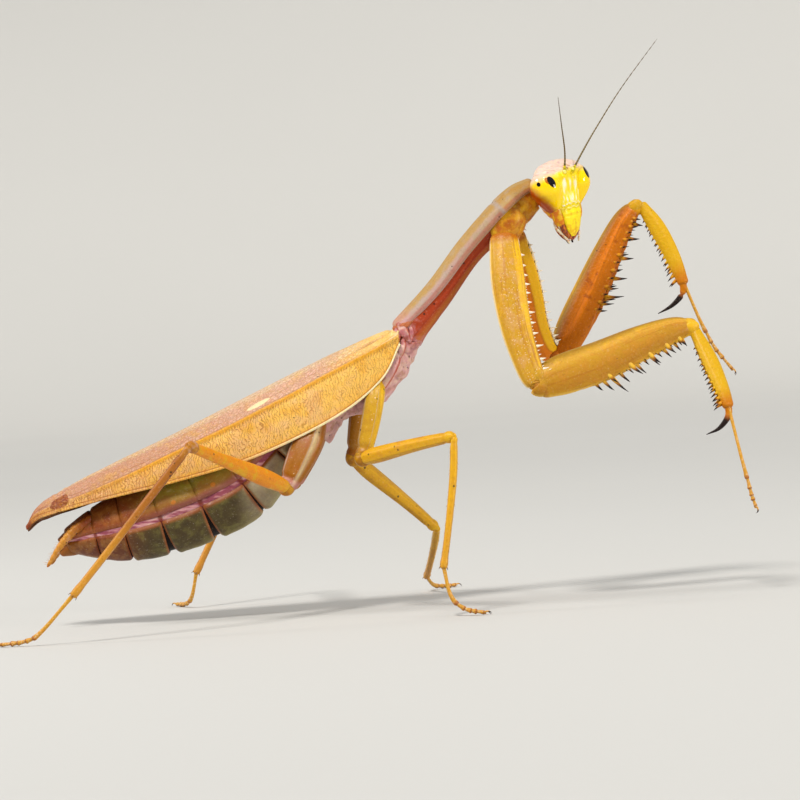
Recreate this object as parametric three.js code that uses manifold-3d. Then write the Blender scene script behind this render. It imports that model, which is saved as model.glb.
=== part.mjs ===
// A praying mantis, adult female of the giant Asian kind, as a still life-size model.
// Millimetres, +Z up, the animal walks towards +X and its left side is +Y.
// Every part of the body is one closed solid; neighbours are parted by a thin cut.
import * as THREE from 'three';
import { mergeVertices } from 'three/addons/utils/BufferGeometryUtils.js';
import Module from 'manifold-3d';

const wasm = await Module();
wasm.setup();

// ---------------------------------------------------------------- driving dimensions
const CUT = 0.15; // width of the thin cut between neighbouring parts
const SHEET = 0.5; // thickness of the wings
const CENTRE = new THREE.Vector3(3.45, -3.7, 0); // moves the feet's middle onto the origin
const REACH = 400; // size of the block that trims feet and ends

// Prothorax: crest of the shield from the back to the front, with what hangs below it.
const PROTHORAX = [
  { crest: [-0.3, 39.3], half: 2.1, shield: 1.5, deep: 5.0, belly: 1.9 },
  { crest: [4.7, 44.2], half: 1.95, shield: 1.6, deep: 4.1, belly: 1.6 },
  { crest: [9.0, 49.4], half: 2.05, shield: 1.65, deep: 3.9, belly: 1.65 },
  { crest: [12.6, 53.2], half: 2.9, shield: 1.7, deep: 4.6, belly: 2.3 },
  { crest: [14.9, 55.4], half: 3.6, shield: 1.7, deep: 5.4, belly: 2.9 },
  { crest: [17.0, 56.9], half: 3.0, shield: 1.5, deep: 5.2, belly: 2.4 },
  { crest: [19.2, 57.7], half: 2.0, shield: 1.2, deep: 4.3, belly: 1.7 },
];

// Meso- and metathorax: centre line with half height and half width.
const THORAX = [
  { at: [1.75, 37.05], tall: 2.1, wide: 2.3 },
  { at: [-1.75, 33.7], tall: 2.6, wide: 2.9 },
  { at: [-5.5, 31.3], tall: 3.0, wide: 3.3 },
  { at: [-9.1, 29.6], tall: 2.9, wide: 3.6 },
  { at: [-12.4, 27.5], tall: 2.5, wide: 3.5 },
];

// Abdomen: the planes between its segments, from the thorax to the tip.
const ABDOMEN = [
  { at: [-12.65, 27.35], tall: 2.4, wide: 3.4 },
  { at: [-17.4, 23.2], tall: 3.8, wide: 4.4 },
  { at: [-22.3, 19.0], tall: 5.4, wide: 4.9 },
  { at: [-27.9, 16.4], tall: 5.5, wide: 5.0 },
  { at: [-33.5, 14.6], tall: 5.2, wide: 4.7 },
  { at: [-38.6, 13.5], tall: 4.6, wide: 3.9 },
  { at: [-42.6, 12.8], tall: 3.4, wide: 2.8 },
  { at: [-46.8, 12.0], tall: 1.4, wide: 1.5 },
];

// Folded forewing: crest over the back, main vein and lower edge, from shoulder to tip.
const WING = [
  { x: 0.4, crest: 38.3, vein: 37.2, edge: 36.2, veinOut: 3.1, edgeOut: 3.5, lap: -0.15 },
  { x: -2.5, crest: 37.8, vein: 36.0, edge: 31.3, veinOut: 3.9, edgeOut: 4.6, lap: -0.15 },
  { x: -9, crest: 35.4, vein: 33.1, edge: 26.7, veinOut: 4.8, edgeOut: 5.9, lap: 0.2 },
  { x: -20, crest: 30.7, vein: 28.0, edge: 22.1, veinOut: 5.3, edgeOut: 6.4, lap: 1.8 },
  { x: -31, crest: 25.9, vein: 23.4, edge: 19.4, veinOut: 5.1, edgeOut: 6.1, lap: 2.0 },
  { x: -41.5, crest: 21.6, vein: 19.2, edge: 17.5, veinOut: 4.2, edgeOut: 4.9, lap: 1.4 },
  { x: -48.5, crest: 18.2, vein: 16.9, edge: 16.0, veinOut: 2.9, edgeOut: 3.3, lap: -0.3 },
  { x: -51.8, crest: 15.5, vein: 15.0, edge: 14.6, veinOut: 1.7, edgeOut: 1.95, lap: -1.2 },
];

// Head: place and turn of its own frame, where x is the face, y the left and z the vertex.
const HEAD = { at: [23.45, -2.0, 56.65], yaw: -45, pitch: 4, roll: 10 };
const SKULL = [
  { z: 3.3, mid: -0.3, wide: 1.2, deep: 0.5 },
  { z: 2.95, mid: -0.25, wide: 2.9, deep: 1.3 },
  { z: 2.2, mid: -0.15, wide: 3.9, deep: 2.0 },
  { z: 1.0, mid: -0.25, wide: 4.3, deep: 2.25 },
  { z: -0.5, mid: -0.3, wide: 4.2, deep: 2.3 },
  { z: -1.9, mid: -0.3, wide: 3.7, deep: 2.3 },
  { z: -3.1, mid: -0.15, wide: 3.0, deep: 2.1 },
  { z: -4.2, mid: 0.1, wide: 2.3, deep: 1.7 },
  { z: -5.3, mid: 0.5, wide: 1.4, deep: 1.1 },
  { z: -6.3, mid: 0.85, wide: 0.8, deep: 0.6 },
  { z: -6.8, mid: 1.0, wide: 0.3, deep: 0.3 },
];
const EYE = { at: [0.15, 2.92, -0.45], size: [2.35, 1.95, 2.8], tilt: 12 };

// Legs: the joints in order, body to foot.
const LEGS = {
  foreleg_right: {
    side: -1,
    coxa: [[15.5, -2.2, 49.6], [15.6, -4.0, 45.0], [15.85, -5.0, 41.0], [16.5, -6.1, 36.4],
      [17.9, -7.1, 31.2], [18.7, -7.35, 29.8]],
    femur: [[19.2, -7.3, 29.6], [22.4, -6.6, 30.6], [27.4, -5.4, 32.2], [33.0, -4.1, 34.3],
      [37.5, -3.0, 35.8], [40.5, -2.3, 36.2]],
    tibia: [[40.6, -2.4, 35.7], [42.2, -4.6, 31.6], [43.3, -6.4, 28.2], [44.1, -7.7, 25.3]],
    claw: [[44.0, -7.6, 25.9], [44.1, -7.9, 24.0], [42.8, -7.9, 22.3], [41.0, -7.5, 21.5]],
    tarsus: [[44.1, -7.9, 25.4], [45.4, -8.8, 18.2], [46.0, -9.0, 15.4], [46.4, -9.2, 13.3],
      [46.9, -9.4, 11.5]],
    under: [0.26, -0.25, -0.93],
    depth: 1,
  },
  foreleg_left: {
    side: 1,
    coxa: [[16.6, 2.2, 50.0], [17.5, 4.8, 46.6], [18.5, 7.6, 42.4], [19.3, 10.4, 38.0],
      [20.7, 12.8, 34.6], [22.0, 13.35, 33.1]],
    femur: [[23.6, 13.3, 33.2], [25.8, 13.1, 36.8], [28.2, 12.8, 41.3], [30.8, 12.4, 46.6],
      [33.2, 12.0, 51.3], [35.0, 11.85, 53.5]],
    tibia: [[35.5, 11.7, 53.4], [37.4, 10.5, 50.1], [39.1, 9.3, 46.2], [40.3, 8.1, 42.4]],
    claw: [[40.2, 8.1, 43.1], [40.2, 8.0, 41.0], [38.7, 8.1, 39.3], [36.6, 8.4, 38.2]],
    tarsus: [[40.3, 8.0, 42.6], [42.1, 8.2, 37.6], [43.1, 8.4, 35.3], [44.3, 8.7, 32.9],
      [46.6, 9.2, 29.8]],
    under: [0.75, -0.5, -0.44],
    depth: 0.92,
  },
  midleg_right: {
    side: -1,
    coxa: [[-3.1, -2.0, 31.4], [-3.4, -3.9, 29.2], [-4.3, -4.7, 25.4], [-5.4, -5.2, 21.6]],
    femur: [[-5.6, -5.5, 21.0], [-3.5, -7.7, 21.5], [1.7, -13.1, 22.7], [6.4, -17.8, 23.6]],
    tibia: [[6.8, -18.1, 23.3], [6.4, -18.5, 18.4], [5.4, -19.1, 12.0], [4.4, -19.6, 6.6]],
    tarsus: [[4.4, -19.6, 6.7], [5.1, -19.9, 2.8], [6.8, -20.2, 1.0], [9.4, -20.6, 0.33]],
  },
  midleg_left: {
    side: 1,
    coxa: [[-5.0, 2.0, 30.6], [-5.5, 3.9, 28.6], [-6.1, 4.7, 25.2], [-6.8, 5.2, 21.4]],
    femur: [[-7.0, 5.5, 20.8], [-4.9, 7.5, 18.7], [-0.3, 11.6, 14.3], [3.7, 15.2, 10.2]],
    tibia: [[4.1, 15.5, 9.8], [3.7, 19.6, 7.6], [3.0, 24.8, 4.7], [2.3, 29.8, 2.2]],
    tarsus: [[2.3, 29.8, 2.2], [3.2, 32.3, 0.8], [4.6, 34.0, 0.4], [6.4, 35.6, 0.33]],
  },
  hindleg_right: {
    side: -1,
    coxa: [[-10.2, -2.2, 27.2], [-12.0, -4.4, 24.6], [-14.0, -5.6, 21.3], [-15.7, -6.4, 18.2]],
    femur: [[-16.0, -6.7, 17.8], [-19.0, -11.4, 19.6], [-23.6, -18.4, 22.3],
      [-27.6, -24.7, 24.6]],
    tibia: [[-27.9, -25.1, 24.4], [-32.8, -26.1, 18.8], [-38.3, -27.1, 12.5],
      [-43.7, -28.0, 6.4]],
    tarsus: [[-43.7, -28.0, 6.5], [-48.2, -27.0, 1.9], [-50.4, -26.3, 0.7],
      [-53.8, -25.4, 0.33]],
  },
  hindleg_left: {
    side: 1,
    coxa: [[-10.2, 2.2, 27.2], [-11.8, 4.4, 24.8], [-13.7, 5.6, 21.5], [-15.2, 6.4, 18.4]],
    femur: [[-15.4, 6.7, 18.1], [-16.4, 12.7, 20.0], [-18.0, 20.8, 22.7], [-19.5, 27.8, 25.0]],
    tibia: [[-19.8, 28.2, 24.9], [-23.1, 27.1, 19.3], [-26.9, 25.6, 12.3], [-30.7, 24.1, 5.2]],
    tarsus: [[-30.7, 24.1, 5.3], [-31.6, 25.2, 1.8], [-32.6, 27.2, 0.6], [-34.2, 30.6, 0.33]],
  },
};

// Thickness of each leg part along its length: half widths across and half depths.
const GIRTH = {
  fore: {
    coxa: { wide: [1.3, 1.5, 1.5, 1.35, 1.2, 0.9], deep: [1.6, 2.15, 2.25, 2.1, 1.75, 1.3] },
    femur: { wide: [1.0, 1.3, 1.4, 1.3, 1.15, 0.85], deep: [1.6, 2.45, 2.8, 2.4, 1.85, 1.3] },
    tibia: { wide: [0.6, 0.75, 0.75, 0.65], deep: [0.8, 1.15, 1.05, 0.8] },
    claw: { wide: [0.45, 0.42, 0.33, 0.12], deep: [0.6, 0.5, 0.36, 0.12] },
    tarsus: { wide: [0.36, 0.34, 0.34, 0.34, 0.27], deep: [0.36, 0.34, 0.34, 0.34, 0.27] },
  },
  mid: {
    coxa: { wide: [1.3, 1.5, 1.35, 1.1], deep: [1.3, 1.35, 1.3, 1.1] },
    femur: { wide: [0.8, 1.05, 0.85, 0.75], deep: [0.8, 1.15, 0.95, 0.8] },
    tibia: { wide: [0.5, 0.58, 0.54, 0.52], deep: [0.5, 0.6, 0.56, 0.52] },
    tarsus: { wide: [0.4, 0.42, 0.42, 0.34], deep: [0.4, 0.42, 0.42, 0.34] },
  },
  hind: {
    coxa: { wide: [1.5, 1.7, 1.5, 1.1], deep: [1.7, 2.1, 2.0, 1.3] },
    femur: { wide: [0.9, 1.15, 0.85, 0.75], deep: [0.9, 1.3, 0.95, 0.8] },
    tibia: { wide: [0.5, 0.6, 0.55, 0.52], deep: [0.5, 0.62, 0.58, 0.52] },
    tarsus: { wide: [0.4, 0.42, 0.42, 0.34], deep: [0.4, 0.42, 0.42, 0.34] },
  },
};

// Spines of the grasping legs: each row runs between two places along the limb, with spines
// of two lengths in turn; `out` puts it on the outer or the inner edge.
const FEMUR_SPINES = [
  { from: 0.42, to: 0.78, count: 4, long: 1.9, short: 1.9, out: 0.75, thick: 0.3 },
  { from: 0.36, to: 0.8, count: 10, long: 1.5, short: 0.9, out: -0.75, thick: 0.25 },
  { from: 0.32, to: 0.44, count: 4, long: 2.0, short: 2.9, out: 0.0, thick: 0.3 },
];
const TIBIA_SPINES = [
  { from: 0.32, to: 0.9, count: 7, long: 1.1, short: 1.1, out: 0.5, thick: 0.22 },
  { from: 0.3, to: 0.92, count: 9, long: 1.2, short: 1.2, out: -0.5, thick: 0.22 },
];

// ---------------------------------------------------------------- colours
const COLOURS = {
  shield: 0xc9a184, underside: 0x9c4a3a, thorax: 0xb0707a, abdomen: 0x7f6a34, wing: 0xd09a3c,
  hindwing: 0x5c3a22, skull: 0xe8c23a, eye: 0xf2c914, mouth: 0x8a3a1c, feeler: 0x5a4a24,
  foreleg: 0xd89428, leg: 0xdc9426, foot: 0xe09a50,
};

function finish(colour, roughness = 0.5) {
  return new THREE.MeshStandardMaterial({ color: COLOURS[colour], roughness, metalness: 0 });
}

// ---------------------------------------------------------------- helpers
const vec = (p) => new THREE.Vector3(...p);
const inPlane = ([x, z]) => new THREE.Vector3(x, 0, z);

// Value of a list of numbers at a fraction from 0 to 1, on a smooth curve through them.
function along(values, fraction) {
  const place = THREE.MathUtils.clamp(fraction, 0, 1) * (values.length - 1);
  const i = Math.min(Math.floor(place), values.length - 2);
  const t = place - i;
  const [a, b] = [values[i], values[i + 1]];
  const before = values[i - 1] ?? 2 * a - b;
  const after = values[i + 2] ?? 2 * b - a;
  const slopeA = (b - before) / 2;
  const slopeB = (after - a) / 2;
  const [t2, t3] = [t * t, t * t * t];
  return (2 * t3 - 3 * t2 + 1) * a + (t3 - 2 * t2 + t) * slopeA
    + (3 * t2 - 2 * t3) * b + (t3 - t2) * slopeB;
}

// Point and direction on a smooth curve through points, at the same kind of fraction.
function pointAlong(points, fraction) {
  const coordinate = (k) => along(points.map((p) => p.getComponent(k)), fraction);
  return new THREE.Vector3(coordinate(0), coordinate(1), coordinate(2));
}

function directionAlong(points, fraction) {
  const step = 0.01;
  const ahead = pointAlong(points, Math.min(fraction + step, 1));
  return ahead.sub(pointAlong(points, Math.max(fraction - step, 0))).normalize();
}

function signedVolume(geometry) {
  const position = geometry.attributes.position;
  const index = geometry.index.array;
  const [a, b, c] = [new THREE.Vector3(), new THREE.Vector3(), new THREE.Vector3()];
  let volume = 0;
  for (let i = 0; i < index.length; i += 3) {
    a.fromBufferAttribute(position, index[i]);
    b.fromBufferAttribute(position, index[i + 1]);
    c.fromBufferAttribute(position, index[i + 2]);
    volume += a.dot(b.cross(c)) / 6;
  }
  return volume;
}

function closedGeometry(points, index) {
  const geometry = new THREE.BufferGeometry();
  const numbers = points.flatMap((p) => p.toArray());
  geometry.setAttribute('position', new THREE.Float32BufferAttribute(numbers, 3));
  geometry.setIndex(index);
  if (signedVolume(geometry) < 0) {
    for (let i = 0; i < index.length; i += 3) [index[i], index[i + 1]] = [index[i + 1], index[i]];
    geometry.setIndex(index);
  }
  return geometry;
}

// Skin over a row of closed rings with as many points each, closed by a fan at both ends.
function loft(rings) {
  const count = rings[0].length;
  const points = rings.flat();
  const index = [];
  for (let r = 0; r < rings.length - 1; r += 1) {
    for (let k = 0; k < count; k += 1) {
      const next = (k + 1) % count;
      const [a, b] = [r * count + k, r * count + next];
      const [c, d] = [a + count, b + count];
      index.push(a, b, c, b, d, c);
    }
  }
  for (const [ring, flip] of [[0, true], [rings.length - 1, false]]) {
    const middle = new THREE.Vector3();
    rings[ring].forEach((p) => middle.addScaledVector(p, 1 / count));
    const hub = points.push(middle) - 1;
    for (let k = 0; k < count; k += 1) {
      const [a, b] = [ring * count + k, ring * count + ((k + 1) % count)];
      index.push(...(flip ? [b, a, hub] : [a, b, hub]));
    }
  }
  return closedGeometry(points, index);
}

// Ring of an oval section round a centre; taper narrows the side that `up` points away from.
function oval(centre, across, up, wide, tall, sides, taper = 0) {
  return Array.from({ length: sides }, (_, k) => {
    const turn = (2 * Math.PI * (k + 0.5)) / sides;
    const lift = Math.sin(turn);
    return centre.clone()
      .addScaledVector(across, wide * Math.cos(turn) * (1 + taper * lift))
      .addScaledVector(up, tall * lift);
  });
}

const NIB = { size: 0.55, length: 0.6 }; // rounding of a limb's ends, as shares of its width

// Round-ended limb along a path; `back` is the side away from its taper.
function limbRings(path, girth, { back, sides, steps, taper = 0, grow = 0, ends = 0 }) {
  const points = path.map(vec);
  const rings = [];
  for (let i = 0; i <= steps; i += 1) {
    const fraction = i / steps;
    const direction = directionAlong(points, fraction);
    const up = back.clone().addScaledVector(direction, -back.dot(direction)).normalize();
    const across = new THREE.Vector3().crossVectors(direction, up);
    const wide = along(girth.wide, fraction) + grow;
    const deep = along(girth.deep, fraction) + grow;
    const centre = pointAlong(points, fraction);
    if (i === 0) {
      const start = centre.clone().addScaledVector(direction, -(grow + ends * wide * NIB.length));
      rings.push(oval(start, across, up, wide * NIB.size, deep * NIB.size, sides, taper));
    }
    rings.push(oval(centre, across, up, wide, deep, sides, taper));
    if (i === steps) {
      const end = centre.clone().addScaledVector(direction, grow + ends * wide * NIB.length);
      rings.push(oval(end, across, up, wide * NIB.size, deep * NIB.size, sides, taper));
    }
  }
  return rings;
}

function toSolid(geometry) {
  const bare = geometry.clone();
  Object.keys(bare.attributes).filter((name) => name !== 'position')
    .forEach((name) => bare.deleteAttribute(name));
  const merged = mergeVertices(bare, 1e-5);
  return new wasm.Manifold(new wasm.Mesh({
    numProp: 3,
    vertProperties: new Float32Array(merged.attributes.position.array),
    triVerts: new Uint32Array(merged.index.array),
  }));
}

function toGeometry(solid) {
  const pieces = solid.decompose().sort((a, b) => b.volume() - a.volume());
  const mesh = pieces[0].getMesh();
  const geometry = new THREE.BufferGeometry();
  const corners = new THREE.BufferAttribute(new Float32Array(mesh.vertProperties), 3);
  geometry.setAttribute('position', corners);
  geometry.setIndex(new THREE.BufferAttribute(new Uint32Array(mesh.triVerts), 1));
  return geometry;
}

// Half space beyond a plane, as a big block to trim with.
function beyond(point, normal) {
  const block = new THREE.BoxGeometry(REACH, REACH, REACH);
  block.translate(0, 0, REACH / 2);
  block.applyQuaternion(new THREE.Quaternion().setFromUnitVectors(new THREE.Vector3(0, 0, 1), normal));
  block.translate(...point.toArray());
  return toSolid(block);
}

const FLOOR = beyond(new THREE.Vector3(), new THREE.Vector3(0, 0, -1));

// Pointed spine from a foot inside the limb to its tip.
function spike(foot, tip, thick, sides = 3) {
  const length = foot.distanceTo(tip);
  const cone = new THREE.ConeGeometry(thick, length, sides);
  cone.translate(0, length / 2, 0);
  const direction = tip.clone().sub(foot).normalize();
  cone.applyQuaternion(new THREE.Quaternion().setFromUnitVectors(new THREE.Vector3(0, 1, 0), direction));
  cone.translate(...foot.toArray());
  return toSolid(cone);
}

const model = new THREE.Group();

function place(name, shape, material, parent = model) {
  const geometry = shape.isBufferGeometry ? shape : toGeometry(shape);
  const mesh = new THREE.Mesh(geometry, material);
  mesh.name = name;
  parent.add(mesh);
}

// ---------------------------------------------------------------- wings
function wingStation(fraction) {
  const names = Object.keys(WING[0]);
  return Object.fromEntries(names.map((key) => [key, along(WING.map((s) => s[key]), fraction)]));
}

const FOLD = 0.6; // where the main vein lies across a wing, as a share of its width

// Height of the folded wings' roof over a place across the back.
const roof = (s, y) => s.crest - (s.crest - s.vein) * (y / s.veinOut) ** 2;

// Point of the folded right forewing at a place along it and across it, from the inner
// edge over the main vein to the lower edge. The one that lies `under` sinks at the back.
function forewingPoint(fraction, across, under) {
  const s = wingStation(fraction);
  if (across <= FOLD) {
    const y = THREE.MathUtils.lerp(s.lap, -s.veinOut, across / FOLD);
    const deepen = THREE.MathUtils.smoothstep(fraction, 0.1, 0.26);
    const sink = under ? 0.8 * deepen * THREE.MathUtils.smoothstep(y, -4.2, -2.1) : 0;
    return new THREE.Vector3(s.x, y, roof(s, y) - sink);
  }
  const t = (across - FOLD) / (1 - FOLD);
  const y = -s.veinOut - (s.edgeOut - s.veinOut) * Math.sin((t * Math.PI) / 2);
  return new THREE.Vector3(s.x, y, s.vein - (s.vein - s.edge) * t);
}

// The right hindwing lies folded under the forewing and shows below it near the tip.
function hindwingPoint(fraction, across) {
  const s = wingStation(0.2 + 0.76 * fraction);
  const depth = 2.0; // below the forewing's roof
  const inner = -0.2;
  const outer = -0.7 * s.veinOut;
  if (across <= FOLD) {
    const y = THREE.MathUtils.lerp(inner, outer, across / FOLD);
    return new THREE.Vector3(s.x, y, roof(s, y) - depth);
  }
  const t = (across - FOLD) / (1 - FOLD);
  const shown = THREE.MathUtils.smoothstep(fraction, 0.5, 0.8);
  const top = roof(s, outer) - depth;
  const low = THREE.MathUtils.lerp(top - 0.8, s.edge + 0.1, shown);
  const y = THREE.MathUtils.lerp(outer, -(s.edgeOut - 0.9), Math.sin((t * Math.PI) / 2));
  return new THREE.Vector3(s.x, y, THREE.MathUtils.lerp(top, Math.min(low, top - 0.4), t));
}

// Thin closed sheet over a surface point(u, v); `side` 1 mirrors it. `over` and `below`
// thicken it into a cutter that clears what lies under the wing.
function wingSheet(point, side, columns, rows, { over = 0, below = 0 } = {}) {
  const [top, bottom] = [[], []];
  const step = 0.01;
  for (let i = 0; i <= columns; i += 1) {
    for (let j = 0; j <= rows; j += 1) {
      const [u, v] = [i / columns, j / rows];
      const lengthwise = point(Math.min(u + step, 1), v).sub(point(Math.max(u - step, 0), v));
      const crosswise = point(u, Math.min(v + step, 1)).sub(point(u, Math.max(v - step, 0)));
      const spot = point(u, v);
      if (i === 0 || i === columns) spot.addScaledVector(lengthwise.normalize(), i ? below : -below);
      if (j === 0 || j === rows) spot.addScaledVector(crosswise.normalize(), j ? below : -below);
      const normal = lengthwise.clone().cross(crosswise).normalize();
      const outer = spot.clone().addScaledVector(normal, over);
      const inner = spot.clone().addScaledVector(normal, -SHEET - below);
      for (const p of [outer, inner]) if (side > 0) p.y = -p.y;
      top.push(outer);
      bottom.push(inner);
    }
  }
  const index = [];
  const at = (i, j) => i * (rows + 1) + j;
  const under = top.length;
  for (let i = 0; i < columns; i += 1) {
    for (let j = 0; j < rows; j += 1) {
      const [a, b, c, d] = [at(i, j), at(i + 1, j), at(i, j + 1), at(i + 1, j + 1)];
      index.push(a, b, c, b, d, c);
      index.push(under + a, under + c, under + b, under + b, under + c, under + d);
    }
  }
  const rim = [];
  for (let i = 0; i < columns; i += 1) rim.push(at(i, 0));
  for (let j = 0; j < rows; j += 1) rim.push(at(columns, j));
  for (let i = columns; i > 0; i -= 1) rim.push(at(i, rows));
  for (let j = rows; j > 0; j -= 1) rim.push(at(0, j));
  rim.forEach((a, k) => {
    const b = rim[(k + 1) % rim.length];
    index.push(a, under + a, b, b, under + a, under + b);
  });
  return closedGeometry([...top, ...bottom], index);
}

const wingRoom = [];
for (const [name, side] of [['right', -1], ['left', 1]]) {
  const front = (u, v) => forewingPoint(u, v, side < 0);
  place(`forewing_${name}`, wingSheet(front, side, 12, 6), finish('wing', 0.45));
  const frontRoom = toSolid(wingSheet(front, side, 12, 6, { over: 2, below: CUT }));
  const hind = toSolid(wingSheet(hindwingPoint, side, 7, 4)).subtract(frontRoom);
  place(`hindwing_${name}`, hind, finish('hindwing'));
  wingRoom.push(frontRoom);
  wingRoom.push(toSolid(wingSheet(hindwingPoint, side, 7, 4, { over: 1, below: CUT })));
}
const underWings = (solid) => wingRoom.reduce((rest, room) => rest.subtract(room), solid);

// ---------------------------------------------------------------- prothorax
// Rings along the crest; `section` gives the outline across it from the sizes there.
function prothoraxRings(grow, section) {
  const crest = PROTHORAX.map((s) => inPlane(s.crest));
  const steps = 10;
  const rings = [];
  for (let i = 0; i <= steps; i += 1) {
    const fraction = i / steps;
    const direction = directionAlong(crest, fraction);
    const up = new THREE.Vector3(-direction.z, 0, direction.x);
    const size = Object.fromEntries(['half', 'shield', 'deep', 'belly']
      .map((key) => [key, along(PROTHORAX.map((s) => s[key]), fraction)]));
    const overrun = { 0: -grow, [steps]: grow }[i] ?? 0;
    const top = pointAlong(crest, fraction).addScaledVector(direction, overrun);
    rings.push(section(size, grow).map(([y, n]) => top.clone()
      .addScaledVector(up, n).add(new THREE.Vector3(0, y, 0))));
  }
  return rings;
}

const halfTurn = Array.from({ length: 7 }, (_, k) => (Math.PI * k) / 6);
const LIP = 0.15; // how far the middle of the shield's floor lies below its edges

// The shield: an arch over a nearly flat floor.
function shieldSection({ half, shield }, grow) {
  const arch = halfTurn.map((turn) => [(half + grow) * Math.cos(turn),
    -shield + (shield + grow) * Math.sin(turn) ** 0.85]);
  const floor = -shield - LIP - grow;
  return [...arch, [-half * 0.5, floor], [half * 0.5, floor]];
}

// The underside: a trough hung below the shield.
function undersideSection({ shield, deep, belly }, grow) {
  const top = -shield - LIP - CUT;
  const wall = 0.35;
  const trough = halfTurn.map((turn) => [-(belly + grow) * Math.cos(turn),
    top - wall - (deep + top - wall + grow) * Math.sin(turn)]);
  return [...trough, [belly * 0.7, top + grow], [-belly * 0.7, top + grow]];
}

const shield = (grow) => loft(prothoraxRings(grow, shieldSection));
const underside = (grow) => loft(prothoraxRings(grow, undersideSection));
place('pronotum', shield(0), finish('shield'));
place('prothorax', underside(0), finish('underside'));
const prothoraxRoom = toSolid(shield(CUT)).add(toSolid(underside(CUT)));

// ---------------------------------------------------------------- thorax and abdomen
// Rings of a trunk part between two stations; `swell` rounds the segment out.
function trunkRings(stations, from, to, { sides, steps, swell = 0, grow = 0 }) {
  const centres = stations.map((s) => inPlane(s.at));
  const last = stations.length - 1;
  const rings = [];
  for (let i = 0; i <= steps; i += 1) {
    const fraction = (from + ((to - from) * i) / steps) / last;
    const direction = directionAlong(centres, fraction);
    const up = new THREE.Vector3(direction.z, 0, -direction.x);
    const bulge = 1 + swell * Math.sin((Math.PI * i) / steps);
    const inset = { 0: CUT / 2 - grow, [steps]: grow - CUT / 2 }[i] ?? 0;
    const centre = pointAlong(centres, fraction).addScaledVector(direction, inset);
    const wide = along(stations.map((s) => s.wide), fraction) * bulge + grow;
    const tall = along(stations.map((s) => s.tall), fraction) * bulge + grow;
    rings.push(oval(centre, new THREE.Vector3(0, 1, 0), up, wide, tall, sides));
  }
  return rings;
}

const thoraxShape = { sides: 14, steps: 3 };
const thoraxRoom = [];
for (const [name, from, to] of [['mesothorax', 0, 2], ['metathorax', 2, 4]]) {
  thoraxRoom.push(toSolid(loft(trunkRings(THORAX, from, to, { ...thoraxShape, grow: CUT }))));
  const body = toSolid(loft(trunkRings(THORAX, from, to, thoraxShape)));
  place(name, underWings(body), finish('thorax'));
}

const SEGMENTS = ABDOMEN.length - 1;
const abdomenShape = { sides: 14, steps: 3, swell: 0.045 };
const abdomenRoom = [];
for (let i = 0; i < SEGMENTS; i += 1) {
  const rings = (grow) => loft(trunkRings(ABDOMEN, i, i + 1, { ...abdomenShape, grow }));
  abdomenRoom.push(toSolid(rings(CUT)));
  place(`abdomen_${i + 1}`, underWings(toSolid(rings(0))), finish('abdomen'));
}

for (const [name, side] of [['cercus_right', -1], ['cercus_left', 1]]) {
  const path = [[-43.4, side * 1.7, 14.8], [-45.4, side * 2.3, 13.6], [-47.4, side * 2.7, 11.6],
    [-49.1, side * 2.9, 9.3]];
  const girth = { wide: [0.6, 0.65, 0.55, 0.3], deep: [0.6, 0.65, 0.55, 0.3] };
  const back = new THREE.Vector3(0, 0, 1);
  const rings = limbRings(path, girth, { back, sides: 6, steps: 4, ends: 1 });
  const clear = toSolid(loft(rings)).subtract(abdomenRoom.at(-1)).subtract(abdomenRoom.at(-2));
  place(name, clear, finish('leg'));
}

// ---------------------------------------------------------------- head
const degrees = THREE.MathUtils.degToRad;
const headGroup = new THREE.Group();
headGroup.position.set(...HEAD.at);
headGroup.rotation.set(degrees(HEAD.roll), degrees(HEAD.pitch), degrees(HEAD.yaw), 'ZYX');
headGroup.updateMatrix();
model.add(headGroup);

function skull(grow) {
  const [face, left] = [new THREE.Vector3(1, 0, 0), new THREE.Vector3(0, 1, 0)];
  const rings = SKULL.map((s, i) => {
    const lift = { 0: grow, [SKULL.length - 1]: -grow }[i] ?? 0;
    const centre = new THREE.Vector3(s.mid, 0, s.z + lift);
    return oval(centre, left, face, s.wide + grow, s.deep + grow, 12);
  });
  return toSolid(loft(rings));
}

function eye(side, grow) {
  const ball = new THREE.SphereGeometry(1, 12, 8);
  ball.scale(...EYE.size.map((half) => half + grow));
  ball.rotateX(degrees(-side * EYE.tilt));
  ball.translate(EYE.at[0], side * EYE.at[1], EYE.at[2]);
  return toSolid(ball);
}

const forward = new THREE.Vector3(1, 0, 0);
const SNOUT = [[-0.7, 0, -3.6], [-0.7, 0, -4.9], [-0.35, 0, -6.4], [0.1, 0, -7.5]];
function mouthparts(grow) {
  const girth = { wide: [1.1, 1.3, 1.1, 0.5], deep: [0.9, 1.1, 0.9, 0.4] };
  return toSolid(loft(limbRings(SNOUT, girth, { back: forward, sides: 8, steps: 3, ends: 1, grow })));
}

place('head', skull(0).subtract(eye(1, CUT)).subtract(eye(-1, CUT)), finish('skull'), headGroup);
place('mouthparts', mouthparts(0).subtract(skull(CUT)), finish('mouth'), headGroup);
for (const [name, side] of [['right', -1], ['left', 1]]) {
  place(`eye_${name}`, eye(side, 0), finish('eye', 0.25), headGroup);
  const path = [[-0.3, side * 1.5, -4.6], [0.1, side * 2.2, -5.5], [0.5, side * 2.1, -6.6],
    [0.8, side * 1.7, -7.6]];
  const girth = { wide: [0.28, 0.28, 0.26, 0.25], deep: [0.28, 0.28, 0.26, 0.25] };
  const rings = limbRings(path, girth, { back: forward, sides: 5, steps: 4, ends: 1 });
  const clear = toSolid(loft(rings)).subtract(skull(CUT)).subtract(mouthparts(CUT));
  place(`palp_${name}`, clear, finish('mouth'), headGroup);
}

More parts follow.
